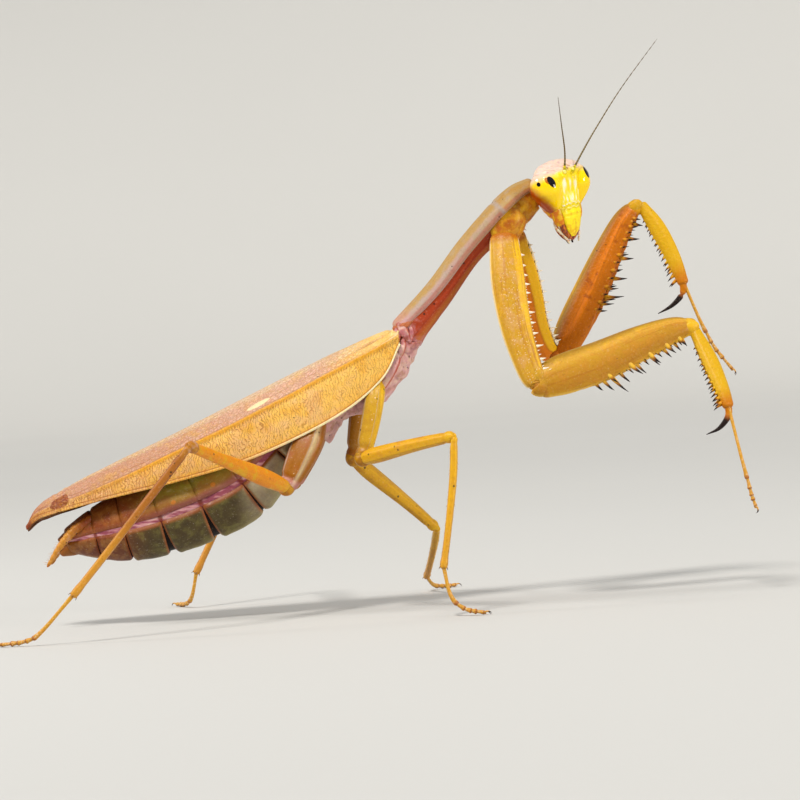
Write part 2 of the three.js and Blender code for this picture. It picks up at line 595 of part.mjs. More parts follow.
const headRoom = skull(CUT).transform(headGroup.matrix.toArray());
const NECK = [[19.9, 0, 55.5], [20.9, -0.3, 55.7], [22.4, -1.0, 56.0]];
const neckGirth = { wide: [1.5, 1.45, 1.3], deep: [1.75, 1.6, 1.4] };
const upward = new THREE.Vector3(0, 0, 1);
const neck = toSolid(loft(limbRings(NECK, neckGirth, { back: upward, sides: 8, steps: 2 })));
place('neck', neck.subtract(headRoom).subtract(prothoraxRoom), finish('underside'));

const FEELERS = {
  antenna_right: [[24.35, -4.3, 58.4], [24.3, -5.6, 60.9], [23.9, -9.2, 64.2],
    [23.4, -14.5, 67.7]],
  antenna_left: [[25.5, -3.2, 58.5], [27.2, -1.0, 61.3], [29.3, 1.2, 64.4], [33.1, 4.2, 69.6],
    [38.6, 7.0, 76.2]],
};
for (const [name, path] of Object.entries(FEELERS)) {
  const girth = { wide: [0.34, 0.28, 0.26, 0.25], deep: [0.34, 0.28, 0.26, 0.25] };
  const rings = limbRings(path, girth, { back: new THREE.Vector3(0, 1, 0), sides: 5, steps: 7 });
  place(name, toSolid(loft(rings)).subtract(headRoom), finish('feeler'));
}

// ---------------------------------------------------------------- legs
const SPINE = {
  root: 0.62, // depth of its foot inside the limb, as a share of the half depth
  spread: 0.55, // distance of a row from the limb's middle, as a share of the half width
  hidden: 0.36, // length buried in the limb, as a share of the half depth
  rake: 0.4, // lean towards the limb's end
  splay: 0.35, // lean away from the limb's middle
};

// Rows of spines on the side of a limb that faces `under`; `side` points away from the body.
function spines(path, girth, rows, under, side) {
  const points = path.map(vec);
  const solids = [];
  for (const row of rows) {
    for (let i = 0; i < row.count; i += 1) {
      const fraction = THREE.MathUtils.lerp(row.from, row.to, i / (row.count - 1));
      const direction = directionAlong(points, fraction);
      const down = under.clone().addScaledVector(direction, -under.dot(direction)).normalize();
      const out = new THREE.Vector3().crossVectors(direction, down).normalize();
      if (out.y * side < 0) out.negate();
      const deep = along(girth.deep, fraction);
      const foot = pointAlong(points, fraction).addScaledVector(down, deep * SPINE.root)
        .addScaledVector(out, row.out * along(girth.wide, fraction) * SPINE.spread);
      const length = (i % 2 ? row.short : row.long) + deep * SPINE.hidden;
      const lean = down.clone().addScaledVector(direction, SPINE.rake)
        .addScaledVector(out, row.out * SPINE.splay);
      solids.push(spike(foot, foot.clone().addScaledVector(lean.normalize(), length), row.thick));
    }
  }
  return wasm.Manifold.union(solids);
}

// A leg part as modelled, and grown by a cut to clear its neighbours.
function legPart(path, girth, options) {
  const limb = (grow) => toSolid(loft(limbRings(path, girth, { ...options, grow })));
  return { solid: limb(0), room: limb(CUT) };
}

const ROOTS = {
  fore: [prothoraxRoom],
  mid: thoraxRoom,
  hind: [...thoraxRoom, abdomenRoom[0], abdomenRoom[1]],
};

for (const [name, leg] of Object.entries(LEGS)) {
  const kind = name.split('leg_')[0];
  const fore = kind === 'fore';
  const girth = structuredClone(GIRTH[kind]);
  if (fore) girth.femur.deep = girth.femur.deep.map((deep) => deep * leg.depth);
  const under = fore ? vec(leg.under) : upward.clone().negate();
  const folded = vec(leg.femur[0]).sub(vec(leg.femur.at(-1))).normalize();
  const shinBack = fore ? folded.clone().negate() : new THREE.Vector3(0, 1, 0);
  const outward = new THREE.Vector3(0, leg.side, 0.01).normalize();
  const part = (piece, options) => legPart(leg[piece], girth[piece], { ends: 1, ...options });

  const coxa = part('coxa', { back: forward, sides: 8, steps: fore ? 6 : 4 });
  const femur = part('femur', { back: under.clone().negate(), sides: fore ? 10 : 8,
    steps: fore ? 7 : 4, taper: fore ? 0.3 : 0 });
  const tibia = part('tibia', { back: shinBack, sides: fore ? 8 : 6, steps: 4,
    taper: fore ? 0.2 : 0 });
  const tarsus = part('tarsus', { back: outward, sides: 6, steps: fore ? 6 : 7 });

  let thigh = femur.solid;
  let shin = tibia.solid;
  let shinRoom = tibia.room;
  if (fore) {
    const claw = part('claw', { back: shinBack, sides: 5, steps: 4, ends: 0 });
    thigh = thigh.add(spines(leg.femur, girth.femur, FEMUR_SPINES, under, leg.side));
    shin = shin.add(claw.solid).add(spines(leg.tibia, girth.tibia, TIBIA_SPINES, folded, leg.side));
    shinRoom = shinRoom.add(claw.room);
  }
  const material = finish(fore ? 'foreleg' : 'leg', 0.4);
  const hip = ROOTS[kind].reduce((rest, room) => rest.subtract(room), coxa.solid);
  place(`${name}_coxa`, underWings(hip), material);
  place(`${name}_femur`, thigh.subtract(coxa.room), material);
  place(`${name}_tibia`, shin.subtract(femur.room), material);
  place(`${name}_tarsus`, tarsus.solid.subtract(shinRoom).subtract(FLOOR), finish('foot', 0.4));
}

model.position.copy(CENTRE);
export default model;
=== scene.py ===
"""A praying mantis, life size: skin, shell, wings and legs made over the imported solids.

Laid out as an add-on whose operators each make one group of pieces; main() calls them in order.
Lengths are millimetres in the animal's own layout until make() moves them into the frame.
"""

import random
from math import copysign, cos, floor, hypot, pi, radians, sin, tau

import bmesh
import bpy
from bpy.props import FloatProperty, FloatVectorProperty, IntProperty, PointerProperty
from mathutils import Matrix, Vector, noise


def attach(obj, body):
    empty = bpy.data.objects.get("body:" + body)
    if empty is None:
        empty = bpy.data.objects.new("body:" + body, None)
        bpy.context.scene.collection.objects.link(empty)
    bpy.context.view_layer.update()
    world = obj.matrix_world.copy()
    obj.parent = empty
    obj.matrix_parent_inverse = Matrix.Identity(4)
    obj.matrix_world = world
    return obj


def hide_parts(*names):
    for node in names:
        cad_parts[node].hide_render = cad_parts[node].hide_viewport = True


bl_info = {
    "name": "Praying Mantis",
    "version": (1, 0, 0),
    "blender": (4, 5, 0),
    "location": "3D View > Sidebar > Mantis",
    "description": "Makes a still praying mantis of life size, piece by piece",
    "category": "Object",
}

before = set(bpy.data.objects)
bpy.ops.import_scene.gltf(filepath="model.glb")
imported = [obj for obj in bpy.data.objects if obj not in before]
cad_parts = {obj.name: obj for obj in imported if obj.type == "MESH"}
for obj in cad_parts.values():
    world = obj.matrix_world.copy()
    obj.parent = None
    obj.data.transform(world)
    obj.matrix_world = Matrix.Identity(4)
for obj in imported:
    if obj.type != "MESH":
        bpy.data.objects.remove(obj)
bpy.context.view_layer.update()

MM = 0.001
SIGHT_HEIGHT = 28.55  # height of the point the camera looks at
CAMERA_DIP, CAMERA_ROLL = 1.0, 3.5  # degrees downwards and over
CAMERA_REACH = 500.0
SENSOR = 36.0
LAMP_AIM = 0.035  # metres above the floor
BRISTLE = 0.035  # half thickness of the bristles of tail and throat
CENTRE = Vector((3.45, -3.7, 0.0))  # moves the layout so that the feet surround the origin
UP = Vector((0, 0, 1))
AHEAD = Vector((1, 0, 0))
LEFT = Vector((0, 1, 0))


# ---------------- sizes and colours
def linear(code):
    """Scene-linear colour of a six-figure colour code."""
    parts = [int(code[i:i + 2], 16) / 255 for i in (0, 2, 4)]
    return tuple(c / 12.92 if c <= 0.04045 else ((c + 0.055) / 1.055) ** 2.4 for c in parts)


def tint(name, code, description):
    return FloatVectorProperty(name=name, description=description, subtype="COLOR", size=3,
                               min=0, max=1, default=linear(code))


def length(name, millimetres, description):
    return FloatProperty(name=name, description=description, subtype="DISTANCE", unit="LENGTH",
                         precision=5, min=0, default=millimetres * MM)


class MantisSizes(bpy.types.PropertyGroup):
    """Sizes that can be changed without touching the layout."""

    wing_thickness: length("Wing thickness", 0.2, "Thickness of a forewing")
    net_mesh: length("Wing net", 0.43, "Width of a mesh of the net of veins in the forewings")
    vein_relief: length("Vein relief", 0.035, "Height of the fine veins above the wing")
    plate_step: length("Plate step", 0.2, "Height of an abdominal plate above the skin between")
    feeler_thickness: length("Feeler thickness", 0.29, "Thickness of a feeler at its root")
    coxa_tooth: length("Coxa tooth", 0.62, "Height of the white teeth on the fore coxae")
    lens: FloatProperty(name="Lens", description="Focal length of the camera", unit="CAMERA",
                        default=164.25)
    smoothing: IntProperty(name="Smoothing", description="Subdivision of the skins", default=1,
                           min=0, max=2)


class MantisColours(bpy.types.PropertyGroup):
    """Colours of the animal's parts and of the stage."""

    shield: tint("Shield", "b08c50", "Top of the shield")
    shield_warm: tint("Shield patches", "b08238", "Warm patches on the shield")
    shield_edge: tint("Shield edge", "aa988c", "Pale line along the edge of the shield")
    side: tint("Side", "a8380c", "Side of the prothorax")
    side_front: tint("Front side", "ae5a06", "Side of the prothorax round the fore coxae")
    side_rear: tint("Rear side", "c88a90", "Sides of the thorax under the wings")
    plate: tint("Plate", "483a18", "Belly plates of the abdomen")
    plate_light: tint("Plate cloud", "7a7334", "Greenish clouds on the belly plates")
    plate_edge: tint("Plate edge", "9c5426", "Edges of the belly plates")
    back_plate: tint("Back plate", "95842a", "Back plates of the abdomen")
    skin_fold: tint("Skin fold", "8e3e52", "Folds of skin between back and belly plates")
    gap: tint("Gap", "140a08", "Gaps between the belly plates")
    wing: tint("Wing", "efbb58", "Forewing below its main vein")
    wing_pink: tint("Wing pink", "d6aa90", "Forewing above its main vein")
    wing_band: tint("Wing band", "dd9a14", "Band along the main vein")
    wing_net: tint("Wing net", "9a5f1e", "Fine veins of the forewing")
    wing_edge: tint("Wing edge", "f4e2b4", "Front edge of the forewing")
    wing_mark: tint("Wing mark", "f0dfab", "Smooth pale mark beside the main vein")
    hindwing: tint("Hindwing", "7c5028", "Folded hindwing")
    face: tint("Face", "ffe010", "Face and top lip")
    face_ridge: tint("Face ridges", "fff4d2", "Ridges of the face")
    crown: tint("Crown", "e8c8b4", "Top of the head")
    cheek: tint("Cheek", "e07c08", "Cheeks and the sides of the mouth")
    eye: tint("Eye", "ffd405", "Eyes")
    # Painted shade colour for the lower outer side of the eyes.
    eye_low_shade: tint("Eye edge", "a84200", "Outer lower edge of the eyes")
    pupil: tint("Pupil", "0b0712", "Dark spots of the eyes")
    mouth: tint("Mouth", "7c2c10", "Jaws and inner mouthparts")
    palp: tint("Palp", "eed9b8", "Palps")
    feeler: tint("Feeler", "6d5b2c", "Feelers")
    grasping: tint("Grasping leg", "c89626", "Outer face of the grasping legs")
    grasping_rim: tint("Grasping leg rim", "f0bc14", "Rims of the grasping legs")
    grasping_inner: tint("Grasping leg inside", "ba6400", "Inner face of the grasping legs")
    shin: tint("Fore tibia", "cfa010", "Fore tibiae")
    tooth: tint("Tooth", "f6ead2", "Teeth on the fore coxae")
    spine_tip: tint("Spine tip", "1a0d0a", "Tips of spines and claws")
    leg: tint("Walking leg", "d69f14", "Walking legs")
    leg_far: tint("Lower leg", "c0802c", "Lower ends of the walking legs")
    hip: tint("Hip", "9c5420", "Small joints between coxa and femur")
    coxa: tint("Walking coxa", "985c06", "Coxae of the walking legs")
    foot: tint("Foot", "c48c28", "Feet")
    floor: tint("Floor", "c6c5c1", "Floor and backdrop")


def sizes():
    return bpy.context.scene.mantis_sizes


def colours():
    return bpy.context.scene.mantis_colours


# ---------------- curves
def lerp(a, b, t):
    return a + (b - a) * t


def ease(low, high, x):
    """0 below `low`, 1 above `high`, smooth between; the two may be in either order."""
    t = min(max((x - low) / (high - low), 0.0), 1.0)
    return t * t * (3 - 2 * t)


def bump(centre, half, x):
    """A smooth hump of height 1 at `centre` that has gone at `half` either side."""
    return 1 - ease(0, half, abs(x - centre))


def along(values, run):
    """Number or Vector at a fraction of a row of them, on a smooth curve through them all."""
    span = min(max(run, 0.0), 1.0) * (len(values) - 1)
    i = min(int(span), len(values) - 2)
    t = span - i
    a, b = values[i], values[i + 1]
    before = values[i - 1] if i > 0 else 2 * a - b
    after = values[i + 2] if i + 2 < len(values) else 2 * b - a
    slope_a, slope_b = (b - before) / 2, (after - a) / 2
    t2, t3 = t * t, t * t * t
    return ((2 * t3 - 3 * t2 + 1) * a + (t3 - 2 * t2 + t) * slope_a
            + (3 * t2 - 2 * t3) * b + (t3 - t2) * slope_b)


def columns(table, run, *numbers):
    """Some columns of a table at a fraction of its length."""
    return [along([row[n] for row in table], run) for n in numbers]


def way_along(points, run, step=0.01):
    ahead = along(points, min(run + step, 1))
    return (ahead - along(points, max(run - step, 0))).normalized()


def path(*points, side=1):
    """Points as Vectors; side -1 mirrors them from left to right."""
    return [Vector((x, side * y, z)) for x, y, z in points]


def square(direction, way):
    """The part of a direction that is square to a way."""
    return (direction - way * direction.dot(way)).normalized()


def turned(way, turn):
    """A direction square to a way, turned round it."""
    aside = way.orthogonal().normalized()
    aside.rotate(Matrix.Rotation(turn, 3, way))
    return aside


def ripple(x, y, z):
    return noise.noise(Vector((x, y, z)))


def add(name, data):
    """A new object in the scene."""
    item = bpy.data.objects.new(name, data)
    bpy.context.scene.collection.objects.link(item)
    return item


def on_plane(x, z):
    return Vector((x, 0, z))


# ---------------- skins
class Hide:
    """The skin of one piece while it grows: its points and faces, with two notes at each point.

    `place` says where the point lies on the piece and `mark` how far it is out along a spine,
    an edge or a spot; the finishes read both.
    """

    def __init__(self):
        self.points, self.faces, self.places, self.marks = [], [], [], []

    def point(self, spot, place=(0, 0, 0), mark=0.0):
        self.points.append(spot)
        self.places.append(place)
        self.marks.append(mark)
        return len(self.points) - 1

    def ring(self, spots, places, marks=None):
        marks = marks or [0.0] * len(spots)
        return [self.point(*note) for note in zip(spots, places, marks)]

    def join(self, a, b, closed=True):
        """Faces between two rings, or two rows, of as many points."""
        count = len(a)
        for k in range(count if closed else count - 1):
            n = (k + 1) % count
            self.faces.append((a[k], a[n], b[n], b[k]))

    def cap(self, ring, hub):
        for k, spot in enumerate(ring):
            self.faces.append((spot, ring[(k + 1) % len(ring)], hub))

    def tube(self, rings):
        """Joins rings of points in order and closes both ends."""
        for a, b in zip(rings, rings[1:]):
            self.join(a, b)
        for ring in (rings[0], rings[-1]):
            middle = sum((self.points[k] for k in ring), Vector()) / len(ring)
            self.cap(ring, self.point(middle, self.places[ring[0]], self.marks[ring[0]]))

    def sheet(self, rows):
        for a, b in zip(rows, rows[1:]):
            self.join(a, b, closed=False)


def make(name, hide, finish, nodes=(), levels=None, thickness=0.0):
    """Turns a skin into an object that rides on the frame, in metres."""
    mesh = bpy.data.meshes.new(name)
    mesh.from_pydata([(p + CENTRE) * MM for p in hide.points], [], hide.faces)
    if mesh.validate():
        raise RuntimeError(f"{name} has a face that is not sound")
    body = bmesh.new()
    body.from_mesh(mesh)
    bmesh.ops.recalc_face_normals(body, faces=body.faces)
    body.to_mesh(mesh)
    body.free()
    place = mesh.attributes.new("place", "FLOAT_VECTOR", "POINT")
    place.data.foreach_set("vector", [c for spot in hide.places for c in spot])
    mark = mesh.attributes.new("mark", "FLOAT", "POINT")
    mark.data.foreach_set("value", hide.marks)
    mesh.polygons.foreach_set("use_smooth", [True] * len(mesh.polygons))
    mesh.materials.append(finish)
    piece = add(name, mesh)
    if thickness:
        shell = piece.modifiers.new("Thickness", "SOLIDIFY")
        shell.thickness = thickness
        shell.offset = -1
    levels = sizes().smoothing if levels is None else levels
    if levels:
        skin = piece.modifiers.new("Smoothing", "SUBSURF")
        skin.levels = skin.render_levels = levels
    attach(piece, "root")
    if nodes:
        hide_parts(*nodes)
    return piece


def around(sides, start=0.0):
    """The turns round a ring, each with its cosine and sine."""
    turns = [tau * (k + start) / sides for k in range(sides)]
    return [(turn, cos(turn), sin(turn)) for turn in turns]


def limb(hide, points, wide, deep, back, out=LEFT, rings=22, sides=20, index=0.0, form=None,
         ends=(0.7, 0.7), mark=0.0, matrix=None, span=0.98):
    """A limb with rounded ends along a path.

    `wide` and `deep` are its half sizes along the way and `back` is the side that faces away
    from its spines. `form` takes the fraction along it and the turn round it and gives how far
    the surface stands out. A point's place is the limb's index plus `span` of the fraction
    along it, then how far it faces outwards, then how far it faces its back.
    """
    steps = [(-s, cos(radians(s)), -sin(radians(s))) for s in (72, 50, 25)]
    steps = [(0.0, c, shift * ends[0]) for _, c, shift in steps if ends[0]]
    steps += [(i / rings, 1.0, 0.0) for i in range(rings + 1)]
    steps += [(1.0, cos(radians(s)), sin(radians(s)) * ends[1]) for s in (25, 50, 72) if ends[1]]
    rows = []
    for run, shrink, shift in steps:
        way = way_along(points, run)
        up = square(back, way)
        across = way.cross(up)
        half_wide, half_deep = along(wide, run), along(deep, run)
        centre = along(points, run) + way * (shift * (half_wide + half_deep) / 2)
        spots, places = [], []
        for turn, c, s in around(sides, 0.5):
            stand = form(run, turn) if form else 0.0
            reach = across * ((half_wide + stand) * c * shrink)
            reach += up * ((half_deep + stand) * s * shrink)
            spot = centre + reach
            spots.append(matrix @ spot if matrix else spot)
            face = reach.normalized()
            places.append((index + run * span + 0.01, face.dot(out), s))
        rows.append(hide.ring(spots, places, [mark] * sides))
    hide.tube(rows)


def thorn(hide, foot, tip, thick, place, bend=Vector(), sides=7, marks=(0.0, 1.0)):
    """A pointed spine whose middle is pushed aside by `bend`."""
    way = (tip - foot).normalized()
    across = way.orthogonal().normalized()
    up = way.cross(across)
    rows = []
    for run, size in ((0, 1.1), (0.25, 0.85), (0.5, 0.56), (0.75, 0.3), (0.97, 0.07)):
        centre = foot.lerp(tip, run) + bend * (4 * run * (1 - run))
        reach = thick * size
        spots = [centre + across * (reach * c) + up * (reach * s) for _, c, s in around(sides)]
        rows.append(hide.ring(spots, [place] * sides, [lerp(*marks, run)] * sides))
    hide.tube(rows)


def blob(hide, centre, sizes_mm, place, turn=None, sides=16, rings=10, mark=0.0):
    """A rounded knob; `turn` is a Matrix that tilts it."""
    turn = turn or Matrix.Identity(3)
    rows = []
    for i in range(1, rings):
        lean = pi * i / rings
        spots = []
        for _, c, s in around(sides):
            spot = Vector((sizes_mm[0] * sin(lean) * c, sizes_mm[1] * sin(lean) * s,
                           sizes_mm[2] * cos(lean)))
            spots.append(centre + turn @ spot)
        rows.append(hide.ring(spots, [place] * sides, [mark] * sides))
    hide.tube(rows)


# ---------------- finishes
class Value:
    """A number that varies over a surface; a sum written with it adds its Math nodes."""

    def __init__(self, finish, socket):
        self.finish, self.socket = finish, socket

    def math(self, operation, *others):
        return self.finish.math(operation, self, *others)

    def __add__(self, other):
        return self.math("ADD", other)

    def __sub__(self, other):
        return self.math("SUBTRACT", other)

    def __rsub__(self, other):
        return self.finish.math("SUBTRACT", other, self)

    def __mul__(self, other):
        return self.math("MULTIPLY", other)

    def __truediv__(self, other):
        return self.math("DIVIDE", other)

    __radd__ = __add__
    __rmul__ = __mul__

    def __abs__(self):
        return self.math("ABSOLUTE")

    def sine(self):
        return self.math("SINE")

    def most(self, other):
        return self.math("MAXIMUM", other)

    def step(self, low, high):
        """0 up to `low`, 1 from `high` on, smooth between; falls where low is above high."""
        falls = low > high
        ends = (high, low) if falls else (low, high)
        node = self.finish.node("ShaderNodeMapRange", {"interpolation_type": "SMOOTHSTEP"},
                                {"Value": self, "From Min": ends[0], "From Max": ends[1],
                                 "To Min": float(falls), "To Max": float(not falls)})
        return Value(self.finish, node)

    def near(self, centre, half):
        """1 at `centre`, falling to 0 at `half` either side of it."""
        return abs(self - centre).step(half, 0.0)


class Finish:
    """One material: its shader, and a method for each kind of step that leads there."""

    def __init__(self, name, grain=0.0, crease=0.6, **uniform):
        # crease sets how strongly painted shade darkens narrow creases and the places where parts meet.
        self.grain, self.crease, self.base, self.spots = grain, crease, None, {}
        self.material = bpy.data.materials.new(name)
        self.material.use_nodes = True
        self.tree = self.material.node_tree
        self.shader = self.tree.nodes["Principled BSDF"]
        for socket, value in uniform.items():
            self.shader.inputs[socket.replace("_", " ")].default_value = value

    def node(self, kind, settings=None, values=None, output=0):
        """Adds a node: its settings first, then the values or links of its sockets."""
        node = self.tree.nodes.new(kind)
        for name, value in (settings or {}).items():
            setattr(node, name, value)
        for name, value in (values or {}).items():
            self.plug(node.inputs[name], value)
        return node.outputs[output]

    def plug(self, socket, value):
        if isinstance(value, Value):
            value = value.socket
        if isinstance(value, bpy.types.NodeSocket):
            self.tree.links.new(value, socket)
        elif socket.type == "RGBA":
            socket.default_value = (*value[:3], 1.0)
        else:
            socket.default_value = value

    def math(self, operation, *values):
        sockets = dict(enumerate(values))
        return Value(self, self.node("ShaderNodeMath", {"operation": operation}, sockets))

    def parts(self, vector):
        """The three numbers of a vector."""
        sockets = (self.node("ShaderNodeSeparateXYZ", None, {0: vector}, i) for i in range(3))
        return [Value(self, s) for s in sockets]

    def vector(self, x, y, z):
        return self.node("ShaderNodeCombineXYZ", None, {0: x, 1: y, 2: z})

    def place(self):
        kind = {"attribute_name": "place"}
        return self.parts(self.node("ShaderNodeAttribute", kind, None, "Vector"))

    def mark(self):
        kind = {"attribute_name": "mark"}
        return Value(self, self.node("ShaderNodeAttribute", kind, None, "Fac"))

    def spot(self, stretch=(1, 1, 1)):
        """Where a point lies in the frame, in millimetres."""
        if stretch not in self.spots:
            where = self.node("ShaderNodeTexCoord", None, None, "Object")
            values = {0: where, 1: tuple(s / MM for s in stretch)}
            multiply = {"operation": "MULTIPLY"}
            self.spots[stretch] = self.node("ShaderNodeVectorMath", multiply, values)
        return self.spots[stretch]

    def axis(self, number):
        """One coordinate of the layout in millimetres."""
        return self.parts(self.spot())[number] - CENTRE[number]

    def noise(self, scale, detail=3.0, rough=0.55, bend=0.0, at=None):
        vector = self.spot() if at is None else at
        values = {"Vector": vector, "Scale": scale, "Detail": detail, "Roughness": rough,
                  "Distortion": bend}
        return Value(self, self.node("ShaderNodeTexNoise", None, values))

    def cells(self, scale, feature="DISTANCE_TO_EDGE", scatter=1.0, at=None):
        vector = self.spot() if at is None else at
        values = {"Vector": vector, "Scale": scale, "Randomness": scatter}
        return Value(self, self.node("ShaderNodeTexVoronoi", {"feature": feature}, values))

    def mix(self, a, b, share):
        """Colour a where the share is 0 and b where it is 1."""
        node = self.tree.nodes.new("ShaderNodeMix")
        node.data_type = "RGBA"
        self.plug(node.inputs["Factor"], share)
        self.plug(node.inputs[6], a)
        self.plug(node.inputs[7], b)
        return node.outputs[2]

    def paint(self, colour, share):
        """Lays a colour over the one that is there, by a share from 0 to 1."""
        self.base = self.mix(self.base, colour, share)

    def specks(self, scale, size, share):
        """Small scattered spots: 1 within a spot; only a share of the cells has one."""
        near = self.cells(scale, "F1").step(size * 1.3, size * 0.7)
        pick = self.noise(scale * 0.37, 1.0).step(0.62 - share, 0.66 - share)
        return near * pick

    def relief(self, *layers):
        """Normal of a surface raised by layers of (height, millimetres)."""
        total = layers[0][0] * layers[0][1]
        for height, reach in layers[1:]:
            total = total + height * reach
        return self.node("ShaderNodeBump", None, {"Height": total, "Distance": MM, "Strength": 1.0})

    def grain_and_crease_shade(self, colour):
        """Adds a fine grain, and paints shade into narrow creases and the places where parts meet."""
        dark, pale = linear("3a1404"), linear("fff0d4")
        fine = self.noise(3.4, 4, 0.7)
        colour = self.mix(colour, dark, fine.step(0.46, 0.28) * (0.26 * self.grain))
        colour = self.mix(colour, pale, fine.step(0.56, 0.72) * (0.12 * self.grain))
        # Painted shade: ambient occlusion darkens the colour in narrow creases and where parts meet.
        open_sky = self.node("ShaderNodeAmbientOcclusion", {"samples": 6}, {"Distance": 0.7 * MM}, 1)
        return self.mix(colour, dark, Value(self, open_sky).step(0.65, 0.1) * self.crease)

    def done(self, roughness, normal):
        colour = self.grain_and_crease_shade(self.base) if self.grain else self.base
        self.plug(self.shader.inputs["Base Color"], colour)
        self.plug(self.shader.inputs["Roughness"], roughness)
        self.plug(self.shader.inputs["Normal"], normal)
        return self.material


def horn(name, grain=1.0, crease=0.6, **uniform):
    """A finish for living horn: light gets a little way in, and its surface has a soft gloss."""
    values = {"Subsurface_Weight": 0.22, "Subsurface_Scale": 0.5 * MM,
              "Subsurface_Radius": (1.0, 0.5, 0.15), "Coat_Weight": 0.04, "Coat_Roughness": 0.2,
              "Specular_IOR_Level": 0.26, "Roughness": 0.45}
    return Finish(name, grain, crease, **{**values, **uniform})


def shield_finish(c):
    f = horn("shield horn", Roughness=0.5, Subsurface_Weight=0.12)
    run, side, arch = f.place()
    cloud = f.noise(0.45, 4).step(0.42, 0.62)
    fine = f.noise(3.0, 3)
    edge = arch.step(0.26, 0.1)
    f.base = f.mix(c.shield, c.shield_warm, cloud * (0.35 + run.step(0.3, 0.8) * 0.5))
    f.paint(c.shield_edge, f.noise(0.8, 2).step(0.5, 0.75) * 0.45)
    lilac = (arch + cloud * 0.1).step(0.7, 0.45) * run.step(0.74, 0.42)
    f.paint(c.shield_edge, lilac.most(edge * 0.6) * (0.55 + run.step(0.45, 0.2) * 0.3))
    f.paint(c.side_rear, lilac * cloud * 0.3)
    f.paint(c.side, abs(side).near(0.99, 0.03) * 0.45)
    f.paint(c.shield_edge, run.near(0.615, 0.035) * 0.8)
    f.paint(c.side_rear, run.step(0.1, 0.0) * 0.5)
    specks = f.specks(0.8, 0.1, 0.1)
    f.paint(c.spine_tip, specks)
    return f.done(0.42 + fine * 0.2, f.relief((fine, 0.03), (specks, -0.03)))


def side_finish(c):
    f = horn("side skin", Roughness=0.5)
    run, side, low = f.place()
    cloud = f.noise(0.9, 4)
    folds = f.noise(1.0, 3, bend=0.4, at=f.spot((0.6, 1.4, 0.6)))
    front = (run + cloud * 0.08).step(0.66, 0.74)
    rear = (run + cloud * 0.1).step(0.465, 0.41)
    f.base = f.mix(c.side, c.side_front, front)
    f.paint(c.side_rear, rear)
    f.paint(c.coxa, rear * cloud.step(0.5, 0.62) * 0.6)
    # Painted highlights on the raised fold ridges and painted shade in the fold hollows, from the same
    # noise that raises the folds.
    f.paint(c.crown, rear * folds.step(0.48, 0.64) * 0.6)
    f.paint(c.hip, rear * folds.step(0.46, 0.34) * 0.5)
    root = rear * f.axis(2).step(34.5, 37.0)
    f.paint(f.mix(c.side, c.skin_fold, cloud), root * 0.5)
    mark = f.mark()
    # Painted shade: the dark fold colour along the recessed crease lines of the rear thorax.
    f.paint(c.skin_fold, mark.near(0.8, 0.5) * 0.7)
    # Painted highlights where the fold noise is high, on the wing-root lobes and towards the tips of the
    # throat hairs.
    f.paint(c.crown, mark.step(-0.1, -0.9) * folds.step(0.44, 0.6) * 0.3)
    f.paint(c.crown, rear * (1 - root) * 0.25)
    lobe = mark.step(-0.05, -0.2)
    f.paint(c.side, lobe * abs(low).step(0.55, 0.9) * 0.85)
    f.paint(c.side_front, mark.step(1.2, 1.4) * 0.8)
    f.paint(c.grasping, front * folds.step(0.48, 0.62) * 0.6)
    f.paint(c.grasping_rim, front * f.noise(0.7, 3).step(0.35, 0.7) * 0.5)
    f.paint(c.grasping_rim, (run + cloud * 0.08).near(0.74, 0.02) * 0.5)
    f.paint(c.hip, front * cloud.step(0.5, 0.7) * low.step(-0.2, 0.5) * 0.35)
    # Painted highlight: a pale band along the top of the neck.
    f.paint(c.shield_edge, run.near(0.965, 0.04) * low.step(0.0, 0.5) * 0.7)
    stripes = f.noise(1.0, 2, at=f.vector(run * 4.0, side * 2.0, low * 14.0))
    f.paint(c.side_front, stripes.step(0.55, 0.7) * (1 - rear) * (1 - front) * 0.3)
    f.paint(c.mouth, stripes.step(0.45, 0.3) * (1 - rear) * (1 - front) * 0.5)
    f.paint(c.leg_far, low.near(-0.8, 0.25) * (1 - front) * (1 - rear) * 0.5)
    specks = f.specks(0.8, 0.13, 0.12)
    f.paint(c.spine_tip, specks * 0.85)
    fine = f.noise(4.0, 3)
    return f.done(0.38 + fine * 0.25, f.relief((fine, 0.03), (folds, 0.18 * 0.6)))


